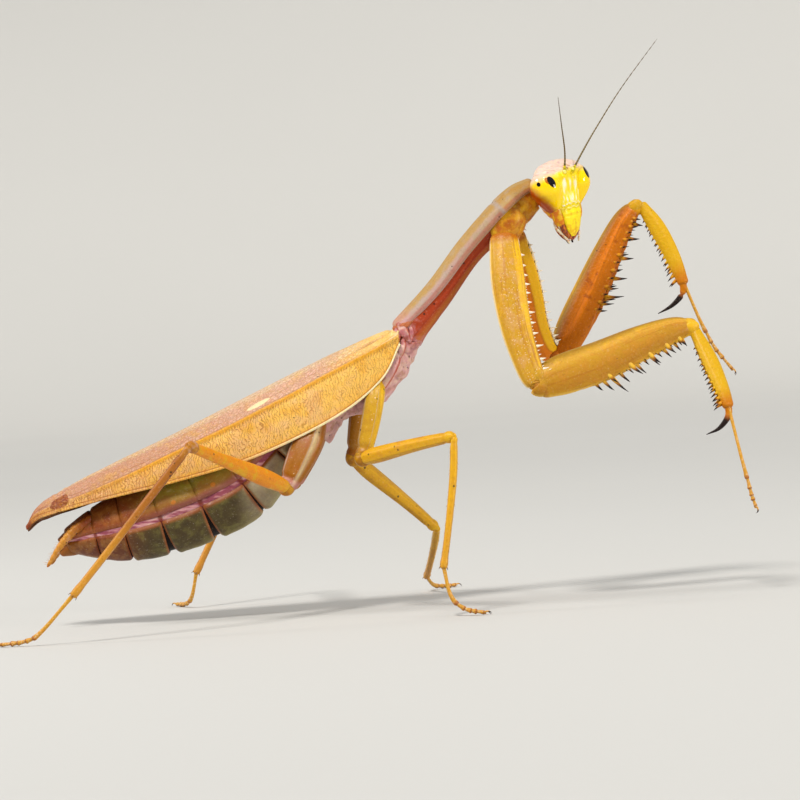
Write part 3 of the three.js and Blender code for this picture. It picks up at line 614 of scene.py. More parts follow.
def plate_finish(c):
    f = horn("abdomen plates", Roughness=0.42, Coat_Weight=0.12)
    run, lift, kind = f.place()
    cloud = f.noise(0.75, 5, bend=0.4)
    grain = f.noise(5.0, 3)
    rim = run.step(0.08, 0.0).most(run.step(0.93, 1.0)).most(lift.step(0.9, 0.975))
    f.base = f.mix(c.plate, c.plate_light, cloud.step(0.42, 0.75) * 0.6)
    f.paint(c.gap, cloud.step(0.42, 0.25) * 0.3)
    f.paint(c.plate_edge, rim * 0.85)
    fore = f.axis(0).step(-23.5, -19.5)
    f.paint(c.back_plate, lift.step(0.4, 0.05) * f.axis(0).step(-36.0, -26.0) * 0.6)
    centre = run.near(0.5, 0.35) * lift.near(0.45, 0.4)
    f.paint(f.mix(c.shield_edge, c.wing_mark, cloud), fore * (1 - rim) * (0.1 + lift * 0.6))
    f.paint(c.back_plate, fore * centre * 0.5)
    rear = f.axis(0).step(-34.0, -41.0)
    f.paint(f.mix(c.mouth, c.hip, cloud.step(0.4, 0.6)), rear * 0.6)
    f.paint(c.coxa, f.axis(0).step(-44.5, -46.5) * 0.7)
    belly = f.base
    f.base = f.mix(c.back_plate, c.plate_edge, cloud.step(0.46, 0.64) * 0.35)
    f.paint(c.wing_mark, cloud.step(0.44, 0.3) * 0.2)
    f.paint(c.hip, lift.step(0.36, 0.1) * 0.5)
    pore_run, pore_lift = (run - 0.55) / 0.06, (lift - 0.13) / 0.035
    pore = (pore_run * pore_run + pore_lift * pore_lift).step(1.4, 0.6)
    f.paint(c.cheek, pore * 0.5)
    f.paint(c.skin_fold, lift.step(0.14, 0.04) * 0.6)
    rust = f.mix(c.hip, c.mouth, (cloud + lift * 0.3).step(0.4, 0.75))
    f.paint(rust, f.axis(0).step(-30.0, -39.0) * 0.85)
    f.base = f.mix(belly, f.base, kind)
    # Painted highlights: small pale specks scattered over the plates.
    specks = f.specks(2.2, 0.1, 0.12)
    f.paint(c.shield_edge, specks * 0.8)
    normal = f.relief((grain, 0.02), (cloud, 0.06), (f.cells(3.2), 0.03))
    return f.done(0.34 + grain * 0.25, normal)


def fold_finish(c):
    f = horn("skin folds", Roughness=0.4, Specular_IOR_Level=0.1, Coat_Weight=0.0)
    run, lift, gap = f.place()
    folds = f.noise(0.9, 2, at=f.spot((0.4, 1, 2.0)))
    f.base = f.mix(c.side_rear, c.skin_fold, folds.step(0.56, 0.42) * 0.85)
    # Painted highlights on the raised parts of the folds, from the same noise that raises them.
    f.paint(c.crown, folds.step(0.54, 0.66) * 0.5)
    within = abs(run.math("FRACT") - 0.5)
    edge = (lift + folds * 0.06).near(0.1, 0.03).most((lift + folds * 0.05).near(-0.1, 0.03))
    f.paint(c.skin_fold, edge * 0.8)
    f.paint(c.mouth, (within + folds * 0.05).step(0.44, 0.5) * 0.8)
    # Painted shade: the skin under the belly plates is near black where it shows in the gaps between
    # them.
    f.paint(c.gap, gap)
    return f.done(0.35 + folds * 0.2, f.relief((folds, 0.12)))


def wing_finish(c, size):
    """Forewing: place holds millimetres along it, millimetres out from the main vein and a
    share from 0 at the inner edge through 0.6 at the vein to 1 at the front edge."""
    f = horn("forewing", 0.8, 0.25, Roughness=0.42, Subsurface_Weight=0.3)
    run, out, share = f.place()
    mesh = size.net_mesh / MM
    front = out.step(-0.1, 0.1)
    wobble, jitter = f.noise(1.1, 2) - 0.5, f.noise(2.4, 2) - 0.5
    swirl = f.noise(0.25, 2, at=f.vector(run, out, 0.0)) - 0.5
    # Meshes in front of the main vein run from the vein to the edge, behind it along the wing.
    phase = run / mesh + out * 0.25 + swirl * 6.0 + wobble * 3.2 + jitter * 0.9
    cross = abs((phase * pi).sine()).step(0.6, 0.1)
    cross = cross * (0.6 + f.noise(1.3, 2).step(0.36, 0.5) * 0.4)
    slant = out / (mesh * 2.0) + run * 0.9 + wobble * 4.0 + jitter * 1.6
    link = abs((slant * pi).sine()).step(0.32, 0.04) * f.noise(1.9, 1).step(0.46, 0.54)
    behind = f.vector(run / (mesh * 1.3) + wobble, out / (mesh * 0.9) + wobble * 0.6, 0.0)
    net_ahead = cross.most(link * 0.8)
    net_behind = f.cells(1.0, scatter=0.9, at=behind).step(0.16, 0.04)
    net = net_ahead * front + net_behind * (1 - front)
    long_veins = ((out - run * 0.02) * 2.6 + wobble * 0.8).sine().step(0.93, 1.0) * (1 - front)
    band = out.near(0.2, 0.75) * run.step(1.0, 3.0)
    comb = ((run * (tau / 0.42)) + wobble * 2).sine().step(0.3, 0.9)
    comb = comb * out.near(0.62, 0.3)
    cloud = f.noise(0.33, 4)
    base_front = f.mix(c.wing, c.wing_band, cloud.step(0.5, 0.66) * 0.5)
    haze = f.noise(0.4, 3).step(0.4, 0.62)
    base_front = f.mix(base_front, c.wing_pink, haze * run.step(2.0, 14.0) * 0.35)
    base_rear = f.mix(c.wing_pink, c.wing, cloud.step(0.5, 0.7) * 0.6)
    f.base = f.mix(base_rear, base_front, front)
    f.paint(c.wing_edge, share.step(0.05, 0.015) * 0.5)
    f.paint(c.wing, run.step(14.0, 2.0) * (1 - front) * 0.75)
    f.paint(c.wing_mark, run.step(16.0, 4.0) * out.step(-1.2, -2.2) * cloud.step(0.3, 0.6) * 0.6)
    f.paint(c.hip, run.step(14.0, 44.0) * 0.36)
    smooth = (1 - front) * run.step(9.0, 3.0)
    f.paint(c.wing, smooth * 0.5)
    f.paint(c.wing_edge, out.step(-2.9, -3.6) * run.step(8.0, 14.0) * 0.35)
    # Painted shade: brown in the trough that the relief sinks beside the shoulder.
    f.paint(c.hip, run.near(4.5, 3.5) * out.near(-1.9, 0.6) * 0.55)
    f.paint(c.wing_mark, run.step(1.8, 0.4) * cloud.step(0.3, 0.5) * (1 - front) * 0.6)
    drawn = 0.42 + front * (0.1 + run.step(10.0, 26.0) * 0.25)
    f.paint(c.wing_net, net * drawn * (1 - smooth * 0.8))
    f.paint(c.wing_net, long_veins * 0.25)
    f.paint(c.wing_band, band * run.step(50.0, 34.0) * 0.85)
    f.paint(c.wing_net, comb * 0.6)
    vein = out.near(-0.28, 0.16)
    f.paint(c.wing_net, vein * 0.35)
    # The smooth pale mark lies behind the main vein, half way along the wing.
    mark_run, mark_out = (run - 21.6) / 1.85, (out + 1.25) / 0.5
    pale = (mark_run * mark_run + mark_out * mark_out).step(1.05, 0.8)
    f.paint(c.wing_mark, pale * 0.8)
    tip = (run.near(52.3, 2.0) * share.near(0.62, 0.32) + cloud * 0.2).step(0.3, 0.42)
    crumple = f.cells(1.5)
    f.paint(f.mix(c.hip, c.mouth, crumple.step(0.16, 0.04)), tip * 0.85)
    f.paint(c.mouth, tip.near(0.5, 0.45) * 0.95)
    f.paint(c.hip, run.step(53.5, 57.0) * (0.3 + cloud * 0.4))
    f.paint(c.mouth, (run + cloud).step(56.9, 57.7) * 0.9)
    edge = out * (1 - share) / (share - 0.6).most(0.02)
    rim = edge.step(0.36, 0.24) * front
    f.paint(c.wing_band, edge.step(1.1, 0.6) * front * run.step(46.0, 30.0) * 0.4)
    f.paint(c.hip, edge.near(0.42, 0.14) * front * 0.7)
    f.paint(c.wing_edge, rim * run.step(30.0, 12.0))
    specks = f.specks(0.7, 0.07, 0.05)
    f.paint(c.spine_tip, specks * 0.9)
    height = (net * (1 - pale) * (size.vein_relief / MM), 1.0)
    normal = f.relief(height, (long_veins, 0.04), (comb, 0.04), (vein, -0.08), (rim, 0.05),
                      (crumple * tip, 0.3), (f.noise(0.9, 3), 0.1))
    return f.done(0.4 + net * 0.15, normal)


def hindwing_finish(c):
    f = horn("hindwing", Roughness=0.4)
    run, out, share = f.place()
    folds = (out * 7.0 + f.noise(0.6, 2) * 2).sine()
    f.base = f.mix(c.hindwing, c.wing_net, folds.step(0.2, 0.9) * 0.5)
    f.paint(c.wing, f.noise(0.8, 3).step(0.55, 0.75) * 0.35)
    net = f.cells(1.0, at=f.vector(run * 1.2, out * 2.2, 0.0)).step(0.08, 0.02)
    f.paint(c.gap, (net * 0.35).most(share.step(0.8, 1.0) * 0.6))
    return f.done(0.35 + folds * 0.08, f.relief((folds, 0.05), (net, 0.02)))


def face_finish(c):
    """Head: place holds the head's own coordinates, with the face ahead and the crown up."""
    f = horn("head horn", 0.6, 0.4, Roughness=0.36, Coat_Weight=0.1, Subsurface_Weight=0.2)
    ahead, aside, up = f.place()
    cloud = f.noise(1.2, 3)
    mark = f.mark()
    side = abs(aside)
    low = up * -1
    f.base = f.mix(c.face, c.face_ridge, mark.step(0.1, 0.7) * 0.95)
    crown = (up + cloud * 0.7 - ahead * 0.55).step(1.0, 1.75)
    stripes = f.noise(1.4, 3, bend=0.5, at=f.spot((0.7, 0.7, 3.0)))
    f.paint(c.crown, crown)
    f.paint(c.skin_fold, crown * stripes.step(0.52, 0.7) * 0.4)
    lip = mark.step(-0.2, -0.8)
    cheek = (low + side * 0.9 - ahead * 1.2 + cloud * 0.8).step(2.6, 4.2) * (1 - lip)
    f.paint(c.cheek, cheek * (0.5 + f.noise(1.8, 3).step(0.6, 0.42) * 0.5))
    f.paint(c.mouth, (low - ahead * 1.2 + cloud * 0.6).step(5.6, 7.0) * (1 - lip) * 0.6)
    crack = (aside + cloud * 0.3).near(0.25, 0.09) * up.step(-4.6, -5.4)
    f.paint(c.mouth, lip * crack * 0.6)
    f.paint(c.cheek, lip * cloud.step(0.5, 0.64) * 0.35)
    nape = ahead.step(-0.6, -2.0) * up.step(1.2, 0.0)
    f.paint(c.cheek, nape * 0.7)
    specks = f.specks(2.0, 0.07, 0.04)
    f.paint(c.spine_tip, specks * 0.7)
    fine = f.noise(6.0, 3)
    return f.done(0.28 + fine * 0.15, f.relief((fine, 0.015), (cloud, 0.05)))


def eye_finish(c):
    """Eye: place is the direction from its middle, in the head's own layout mirrored to one side."""
    f = horn("eye", 0.25, 0.4, Roughness=0.3, Coat_Weight=0.7, Coat_Roughness=0.03,
             Specular_IOR_Level=0.02, Subsurface_Weight=0.1)
    ahead, out, up = f.place()
    cloud = f.noise(1.3, 3)

    def spot_at(a, o, u, wide, tall, lean=0.0):
        x, y, z = ahead - a, out - o, up - u
        across = y * cos(lean) + z * sin(lean)
        raised = z * cos(lean) - y * sin(lean)
        flat = x * x * 0.5 + across * across
        return (flat / (wide * wide) + raised * raised / (tall * tall)).step(1.15, 0.85)

    # Painted shade: the lower, outer and rear side of each eye turns orange-brown.
    low = (out * 0.75 - up * 0.95 - ahead * 0.7 + cloud * 0.35).step(0.25, 1.05)
    f.base = f.mix(c.eye, c.eye_low_shade, low)
    top = (up + cloud * 0.3 - ahead * 0.25 - out * 0.1).step(0.55, 1.0)
    f.paint(c.crown, top * 0.95)
    stripes = f.noise(1.4, 3, bend=0.5, at=f.spot((0.6, 0.6, 3.0)))
    f.paint(c.skin_fold, top * stripes.step(0.5, 0.7) * 0.35)
    large = spot_at(0.80, 0.18, 0.56, 0.25, 0.32, 0.25)
    speckle = spot_at(0.68, 0.36, 0.66, 0.17, 0.2)
    small = spot_at(0.20, 0.78, 0.58, 0.10, 0.13)
    grains = f.noise(5.0, 2).step(0.35, 0.55)
    f.paint(c.side, speckle * grains * 0.9)
    f.paint(c.pupil, large.most(small))
    facets = f.cells(11.0)
    return f.done(0.22 + facets * 0.1, f.relief((facets, 0.001)))


def mouth_finish(c):
    f = horn("mouthparts", Roughness=0.3, Coat_Weight=0.35)
    run, _, _ = f.place()
    mark = f.mark()
    streak = f.noise(1.6, 3, at=f.spot((3, 3, 0.8)))
    f.base = f.mix(c.mouth, c.cheek, streak.step(0.45, 0.65) * 0.8)
    f.paint(c.palp, mark.step(0.4, 0.7))
    f.paint(c.spine_tip, mark.step(-0.3, -0.8))
    joint = (run * (tau * 4)).sine().step(0.8, 1.0) * mark.step(0.4, 0.7)
    f.paint(c.cheek, joint * 0.7)
    return f.done(0.22 + streak * 0.2, f.relief((streak, 0.05)))


def feeler_finish(c):
    f = horn("feeler horn", Roughness=0.45)
    run, _, _ = f.place()
    ring = (run * (tau * 38)).sine()
    f.base = f.mix(c.face, c.feeler, run.step(-0.5, 0.12))
    f.paint(c.spine_tip, run.step(0.35, 1.0) * 0.6)
    f.paint(c.spine_tip, ring.step(0.6, 0.95) * 0.35)
    return f.done(0.4 + ring * 0.05, f.relief((ring, 0.02)))


def grasping_finish(c):
    """Grasping leg: place is coxa 0, femur 1, tibia 2 or claw 3 plus the fraction along it."""
    f = horn("grasping leg horn", 0.8, Roughness=0.4, Specular_IOR_Level=0.18, Subsurface_Weight=0.12)
    run, outward, back = f.place()
    mark = f.mark()
    cloud = f.noise(0.7, 4, bend=0.3)
    grain = f.noise(3.2, 3)
    pores = f.cells(2.6, "F1")
    coxa, femur = run.step(1.0, 0.999), run.step(0.999, 1.0) * run.step(2.0, 1.999)
    streak = f.noise(1.0, 3, at=f.vector(run * 2.5, outward * 2.0, back * 7.0))
    f.base = f.mix(c.grasping, c.grasping_rim, cloud.step(0.52, 0.68) * 0.6)
    f.paint(c.hip, streak.step(0.46, 0.32) * 0.4)
    f.paint(c.grasping_rim, coxa * back.step(0.35, 0.6) * streak.step(0.42, 0.55) * 0.8)
    f.paint(c.grasping_inner, outward.step(0.15, -0.35) * 0.95)
    outer = outward.step(0.1, 0.6)
    f.paint(c.leg_far, outer * cloud.step(0.42, 0.62) * (0.35 + femur * 0.3))
    blush = outer * coxa * f.noise(0.8, 4).step(0.46, 0.6) * (1 - abs(back).step(0.3, 0.8))
    f.paint(c.wing_pink, blush * 0.2)
    low = (back + cloud * 0.5).step(0.75, -0.2)
    f.paint(c.coxa, outer * femur * low * 0.55)
    # Painted highlight: a pale golden streak along the upper part of the femur's outer face.
    f.paint(c.wing, outer * femur * back.near(0.6, 0.3) * streak.step(0.35, 0.6) * 0.35)
    far = f.axis(1).step(-0.5, 0.5)
    rims = (abs(back) + (streak - 0.5) * 0.3).step(0.8, 1.02)
    f.paint(c.grasping_rim, rims * (0.6 + coxa * far * 0.3) * (1 - femur * far))
    f.paint(c.wing_edge, abs(back).step(0.88, 0.98) * (coxa * 0.7 + 0.1) * (1 - femur * far))
    # Painted highlight: a bright orange streak along the middle of the far femur's inner face.
    painted_highlight = femur * far * outward.step(0.0, -0.3) * (back + cloud * 0.4).near(0.0, 0.4)
    f.paint(c.cheek, painted_highlight * streak.step(0.4, 0.6) * 0.8)
    f.paint(c.cheek, coxa * outward.step(0.0, -0.3) * back.step(0.35, 0.15) * 0.9)
    f.paint(c.grasping_rim, coxa * outward.step(0.1, -0.3) * back.step(0.25, 0.45) * 0.8)
    dark = femur * back.step(0.1, 0.7) * outward.step(0.45, -0.1)
    f.paint(f.mix(c.plate_light, c.coxa, 0.5), dark * 0.7)
    speckle = pores.step(0.3, 0.12) * coxa * outward.step(-0.1, 0.3)
    f.paint(c.tooth, speckle * abs(back).step(0.7, 0.4) * 0.3)
    f.paint(c.side_front, coxa * (run + cloud * 0.05).step(0.08, 0.03) * 0.85)
    f.paint(c.mouth, outward.step(-0.1, -0.5) * femur * cloud.step(0.45, 0.3) * 0.5)
    f.paint(c.shin, run.step(1.999, 2.0))
    f.paint(c.grasping_inner, run.step(2.7, 3.0) * 0.85)
    f.paint(c.grasping_rim, run.near(1.96, 0.06) * 0.5)
    f.paint(c.hip, run.near(1.0, 0.03) * 0.5)
    spine = mark.step(0.12, 0.3)
    f.paint(c.grasping_rim, spine * run.step(2.995, 2.99) * 0.35)
    f.paint(c.hip, mark.step(0.3, 0.5) * 0.8)
    f.paint(c.spine_tip, mark.step(0.42, 0.66))
    f.paint(c.tooth, mark.step(-0.05, -0.3))
    specks = f.specks(0.8, 0.09, 0.05)
    f.paint(c.spine_tip, specks * 0.8 * (1 - spine))
    normal = f.relief((grain, 0.035), (cloud, 0.1), (pores, 0.03))
    return f.done(0.33 + grain * 0.2, normal)


def leg_finish(c):
    """Walking leg: place is coxa 0, hip 1, femur 2 or tibia 3 plus the fraction along it."""
    f = horn("walking leg horn", Roughness=0.38, Subsurface_Weight=0.14)
    run, outward, back = f.place()
    mark = f.mark()
    cloud = f.noise(0.8, 4)
    grain = f.noise(3.5, 3)
    f.base = f.mix(c.leg, c.leg_far, cloud.step(0.5, 0.7) * 0.45)
    f.paint(c.hip, abs(back).step(0.6, 1.0) * cloud.step(0.35, 0.6) * 0.3)
    coxa = run.step(1.0, 0.999)
    middle = f.axis(0).step(-9.5, -8.0)
    skin = f.base
    f.base = f.mix(c.coxa, f.mix(c.leg, c.back_plate, 0.3), middle)
    f.paint(c.hip, cloud.step(0.5, 0.36) * (0.6 - middle * 0.4))
    ridge = back.near(0.55, 0.3).most(middle * back.step(0.45, 0.65))
    f.paint(f.mix(c.wing_mark, c.grasping_rim, middle), ridge * (0.25 + cloud * 0.6))
    f.paint(c.coxa, outward.step(0.1, -0.4) * 0.8)
    f.paint(c.hip, back.near(-0.95, 0.14) * (1 - middle) * 0.7)
    f.paint(c.shield_edge, back.near(-0.8, 0.08).most(back.near(0.4, 0.05)) * 0.6)
    # Painted highlights: small pale specks in a band along the walking coxae.
    f.paint(c.palp, f.specks(1.8, 0.16, 0.3) * back.near(0.15, 0.35) * 0.7)
    f.paint(f.mix(c.side_rear, c.hip, middle), run.step(0.88, 0.97) * 0.5)
    f.base = f.mix(skin, f.base, coxa)
    hip = run.step(0.999, 1.0) * run.step(2.0, 1.999)
    f.paint(c.coxa, hip * 0.8)
    f.paint(c.leg, hip * cloud.step(0.45, 0.6) * 0.5)
    hind = f.axis(0).step(-15.0, -17.0) * (1 - coxa)
    shank = hind * run.step(2.9, 3.1) * run.step(3.9, 3.5)
    f.paint(f.mix(c.hip, c.mouth, 0.3), shank * 0.95)
    f.paint(c.cheek, hind * run.step(2.999, 2.9) * cloud.step(0.35, 0.5) * 0.65)
    knee = hind * abs(run - 3.0).step(0.06, 0.03)
    f.paint(c.crown, knee * cloud.step(0.5, 0.6) * 0.5)
    f.paint(c.mouth, hind * abs(run - 2.955).near(0.0, 0.012) * 0.6)
    tail = f.axis(0).step(-42.5, -43.0) * f.axis(2).step(8.2, 8.6)
    f.paint(f.mix(c.mouth, c.leg_far, run.step(2.1, 2.6)), tail * 0.9)
    f.paint(c.crown, tail * run.step(2.3, 2.7) * cloud.step(0.45, 0.65) * 0.4)
    f.paint(c.leg_far, run.step(3.3, 3.9) * 0.8)
    f.paint(c.grasping_rim, abs(run - 3.0).step(0.05, 0.02) * (1 - hind) * 0.25)
    f.paint(c.hip, knee * 0.5)
    ridge = (outward * 6 + back * 4).sine()
    f.paint(c.grasping_rim, ridge.step(0.7, 1.0) * run.step(1.999, 2.0) * (0.3 - hind * 0.2))
    f.paint(c.spine_tip, mark.step(0.3, 0.8))
    specks = f.specks(0.8, 0.13, 0.13)
    f.paint(c.spine_tip, specks * 0.85)
    fine = f.specks(3.2, 0.12, 0.2)
    f.paint(c.hip, fine * run.step(2.4, 3.2) * 0.6)
    return f.done(0.32 + grain * 0.2, f.relief((grain, 0.03), (ridge, 0.012)))


def foot_finish(c):
    """Foot: place is the number of the joint plus the fraction along it."""
    f = horn("foot horn", 0.5, Roughness=0.42)
    run, _, _ = f.place()
    mark = f.mark()
    grain = f.noise(4.0, 3)
    within = run.math("FRACT")
    joint = within.step(0.86, 0.97).most(within.step(0.07, 0.02))
    f.base = f.mix(c.foot, c.palp, grain.step(0.48, 0.68) * 0.4)
    f.paint(c.leg, run.step(1.0, 0.2) * 0.35)
    f.paint(c.hip, joint * 0.8)
    f.paint(c.spine_tip, mark.step(0.2, 0.7))
    return f.done(0.38 + grain * 0.2, f.relief((grain, 0.03)))


def floor_finish(c):
    f = Finish("floor", Roughness=0.75)
    grain = f.noise(0.9, 4)
    broad = f.noise(0.004, 2)
    pale = tuple(min(1.0, v * 1.05) for v in c.floor)
    f.base = f.mix(c.floor, pale, broad)
    return f.done(0.7 + grain * 0.1, f.relief((grain, 0.01)))


# ---------------- the layout
# Shield from its back to its front: crest, half width, height of the arch, depth of the body
# below the crest and half width of the belly.
PROTHORAX = [
    (on_plane(-0.3, 39.3), 2.1, 1.75, 5.0, 2.2),
    (on_plane(4.7, 44.2), 1.95, 2.0, 4.1, 1.6),
    (on_plane(9.0, 49.4), 2.05, 2.15, 3.9, 1.65),
    (on_plane(12.6, 53.2), 2.9, 2.25, 4.6, 2.3),
    (on_plane(14.9, 55.4), 3.6, 2.25, 5.4, 2.9),
    (on_plane(17.0, 56.9), 3.0, 2.1, 5.2, 2.4),
    (on_plane(19.2, 57.7), 2.0, 1.7, 4.3, 1.7),
]

# Thorax under the wings: middle, half width, and reach below and above the middle.
THORAX = [
    (on_plane(-12.9, 27.1), 3.3, 4.9, 2.2),
    (on_plane(-9.1, 29.6), 3.7, 3.6, 2.9),
    (on_plane(-5.5, 31.3), 3.4, 4.4, 3.0),
    (on_plane(-1.75, 33.7), 3.1, 3.4, 2.6),
    (on_plane(0.4, 36.4), 2.7, 2.9, 1.6),
]

# Abdomen from the thorax to its tip: planes between segments, half height and half width.
ABDOMEN = [
    (on_plane(-12.6, 27.4), 2.4, 3.4),
    (on_plane(-17.4, 23.2), 3.8, 4.4),
    (on_plane(-22.3, 19.0), 5.4, 4.9),
    (on_plane(-27.9, 16.4), 5.5, 5.0),
    (on_plane(-33.5, 14.6), 5.2, 4.7),
    (on_plane(-38.6, 13.5), 4.6, 3.9),
    (on_plane(-42.6, 12.8), 3.4, 2.8),
    (on_plane(-46.8, 12.0), 1.4, 1.5),
]

# Folded forewing from shoulder to tip: x, height of crest, main vein and front edge, how far
# out the vein and the edge lie, and how far the inner edge laps over the middle.
WING = [
    (0.4, 38.3, 37.2, 36.2, 3.1, 3.5, -0.15),
    (-2.5, 37.8, 36.0, 31.3, 3.9, 4.6, -0.15),
    (-9.0, 35.4, 33.1, 26.7, 4.8, 5.9, 0.2),
    (-20.0, 30.7, 28.0, 22.1, 5.3, 6.4, 1.8),
    (-31.0, 25.9, 23.4, 19.4, 5.1, 6.1, 2.0),
    (-41.5, 21.6, 19.2, 17.5, 4.2, 4.9, 1.4),
    (-48.5, 18.3, 16.9, 16.0, 2.9, 3.3, -0.3),
    (-50.6, 17.0, 16.0, 15.3, 2.1, 2.4, -0.9),
    (-52.0, 14.9, 14.5, 14.1, 1.5, 1.7, -1.1),
]

HEAD_AT = Vector((23.45, -2.0, 56.65))
HEAD_TURN = (-45, 4, 10)  # degrees to the left, nose down and over to the left
HEAD = (Matrix.Translation(HEAD_AT)
        @ Matrix.Rotation(radians(HEAD_TURN[0]), 4, "Z")
        @ Matrix.Rotation(radians(HEAD_TURN[1]), 4, "Y")
        @ Matrix.Rotation(radians(HEAD_TURN[2]), 4, "X"))

# Head capsule from the crown to the lip: height, middle, half width and half depth.
SKULL = [
    (3.3, -0.3, 1.2, 0.5),
    (2.95, -0.25, 2.9, 1.3),
    (2.2, -0.15, 3.9, 2.0),
    (1.0, -0.25, 4.3, 2.25),
    (-0.5, -0.3, 4.2, 2.3),
    (-1.9, -0.3, 3.7, 2.3),
    (-3.1, -0.15, 3.0, 2.1),
    (-4.2, 0.1, 2.3, 1.7),
    (-5.3, 0.5, 1.4, 1.1),
    (-6.3, 0.75, 0.8, 0.5),
]
EYE_AT, EYE_SIZE, EYE_TILT = Vector((0.15, 2.92, -0.45)), Vector((2.35, 1.95, 2.8)), 12

FEELERS = {
    "right": path((24.2, -4.1, 58.2), (24.3, -5.6, 60.9), (23.9, -9.2, 64.2), (23.4, -14.5, 67.7)),
    "left": path((25.3, -3.2, 58.3), (27.2, -1.0, 61.3), (29.3, 1.2, 64.4), (33.1, 4.2, 69.6),
                 (38.6, 7.0, 76.2)),
}


# ---------------- stage
def stage_bowl():
    """A round floor that turns up into a wall all round, without an edge."""
    hide = Hide()
    floor_reach, curve, wall, sides = 1300.0, 500.0, 500.0, 96
    profile = [(r, 0.0) for r in (60.0, 200.0, 500.0, 900.0, floor_reach)]
    for i in range(1, 13):
        turn = pi / 2 * i / 12
        profile.append((floor_reach + curve * sin(turn), curve * (1 - cos(turn))))
    profile.append((floor_reach + curve, curve + wall))
    rings = []
    for reach, height in profile:
        turns = [tau * k / sides for k in range(sides)]
        spots = [Vector((reach * cos(t), reach * sin(t), height)) - CENTRE for t in turns]
        rings.append(hide.ring(spots, [(0, 0, 0)] * sides))
    hub = hide.point(-CENTRE)
    hide.cap(rings[0], hub)
    for a, b in zip(rings, rings[1:]):
        hide.join(b, a)
    mesh = bpy.data.meshes.new("floor")
    mesh.from_pydata([(p + CENTRE) * MM for p in hide.points], [], hide.faces)
    mesh.polygons.foreach_set("use_smooth", [True] * len(mesh.polygons))
    return add("floor", mesh)


def soft_lamp(name, at, power, size, colour):
    lamp = bpy.data.lights.new(name, "AREA")
    lamp.shape = "DISK"
    lamp.size, lamp.energy, lamp.color = size, power, colour
    holder = add(name, lamp)
    holder.location = at
    aim = Vector((0, 0, LAMP_AIM)) - Vector(at)
    holder.rotation_euler = aim.to_track_quat("-Z", "Y").to_euler()


class MANTIS_OT_stage(bpy.types.Operator):
    """Makes the floor, the soft lamps and the camera"""

    bl_idname = "mantis.stage"
    bl_label = "Stage"

    def execute(self, context):
        scene = context.scene
        bowl = stage_bowl()
        bowl.data.materials.append(floor_finish(colours()))
        world = bpy.data.worlds.new("studio")
        world.use_nodes = True
        sky = world.node_tree.nodes["Background"]
        sky.inputs["Color"].default_value = (0.93, 0.96, 1.0, 1.0)
        sky.inputs["Strength"].default_value = 0.38
        scene.world = world
        sun = bpy.data.lights.new("key", "SUN")
        sun.energy, sun.angle, sun.color = 2.5, radians(12), (1.0, 0.97, 0.93)
        key = add("key", sun)
        key.rotation_euler = Vector((0.24, 0.52, -0.82)).to_track_quat("-Z", "Y").to_euler()
        soft_lamp("rim", (-0.41, -0.02, 0.3), 1.0, 0.12, (1.0, 0.98, 0.95))
        soft_lamp("fill", (0.62, -0.4, 0.22), 2.6, 0.22, (1.0, 0.98, 0.95))
        lens = bpy.data.cameras.new("camera")
        lens.lens, lens.sensor_width = sizes().lens, SENSOR
        lens.clip_start, lens.clip_end = 0.02, 20.0
        camera = add("camera", lens)
        dip, roll = radians(CAMERA_DIP), radians(CAMERA_ROLL)
        sight = Vector((0, cos(dip), -sin(dip)))
        level_up = Vector((0, sin(dip), cos(dip)))
        right = AHEAD * cos(roll) - level_up * sin(roll)
        top = AHEAD * sin(roll) + level_up * cos(roll)
        at = (Vector((0, 0, SIGHT_HEIGHT)) + CENTRE - sight * CAMERA_REACH) * MM
        camera.matrix_world = Matrix(((right.x, top.x, -sight.x, at.x), (right.y, top.y, -sight.y, at.y),
            (right.z, top.z, -sight.z, at.z), (0, 0, 0, 1)))
        scene.camera = camera
        scene.view_settings.view_transform = "Standard"
        return {"FINISHED"}


# ---------------- prothorax and thorax
def shield_piece(finish):
    """The shield: an arch with a keel along it and a furrow across it."""
    hide = Hide()
    crest = [s[0] for s in PROTHORAX]
    rows_over, across_over, rim = 72, 28, 8
    steps = [(0.0, cos(radians(a)), -sin(radians(a))) for a in (60, 30)]
    steps += [(i / rows_over, 1.0, 0.0) for i in range(rows_over + 1)]
    steps += [(1.0, cos(radians(a)), sin(radians(a))) for a in (25, 50, 72)]
    rows = []
    for run, shrink, shift in steps:
        way = way_along(crest, run)
        up = Vector((-way.z, 0, way.x))
        half, arch = columns(PROTHORAX, run, 1, 2)
        top = along(crest, run) + way * (shift * 0.8)
        furrow = bump(0.60, 0.022, run)
        spots, places = [], []
        for k in range(across_over + 1):
            turn = pi * k / across_over
            side = cos(turn)
            lift = arch * (sin(turn) ** 0.85 * shrink - 1)
            lift += 0.1 * bump(0, 0.1, side) * shrink - 0.13 * furrow * sin(turn)
            lift -= 0.07 * bump(0.35, 0.22, abs(side)) * shrink
            swell = 0.1 * bump(0.97, 0.12, abs(side)) + 0.15 * bump(0.62, 0.05, run)
            spots.append(top + LEFT * ((half + swell) * side * shrink) + up * lift)
            places.append((run, side, sin(turn)))
        for k in range(1, rim):
            t = k / rim
            side = -cos(pi * t) * 0.94
            lift = -arch - 0.22 + 0.1 * sin(pi * t)
            spots.append(top + LEFT * (half * side * shrink) + up * lift)
            places.append((run, side, -0.2))
        rows.append(hide.ring(spots, places))
    hide.tube(rows)
    # Small teeth along the edges of the front half.
    for side in (-1, 1):
        for i in range(17):
            run = lerp(0.42, 0.93, i / 16)
            way = way_along(crest, run)
            up = Vector((-way.z, 0, way.x))
            half, arch = columns(PROTHORAX, run, 1, 2)
            foot = along(crest, run) + LEFT * (side * (half + 0.02)) - up * (arch - 0.08)
            tip = foot + LEFT * (side * 0.2) + way * 0.06 - up * 0.05
            thorn(hide, foot, tip, 0.09, (run, side, 0), marks=(0, 0), sides=6)
    return make("shield", hide, finish, ["pronotum"])


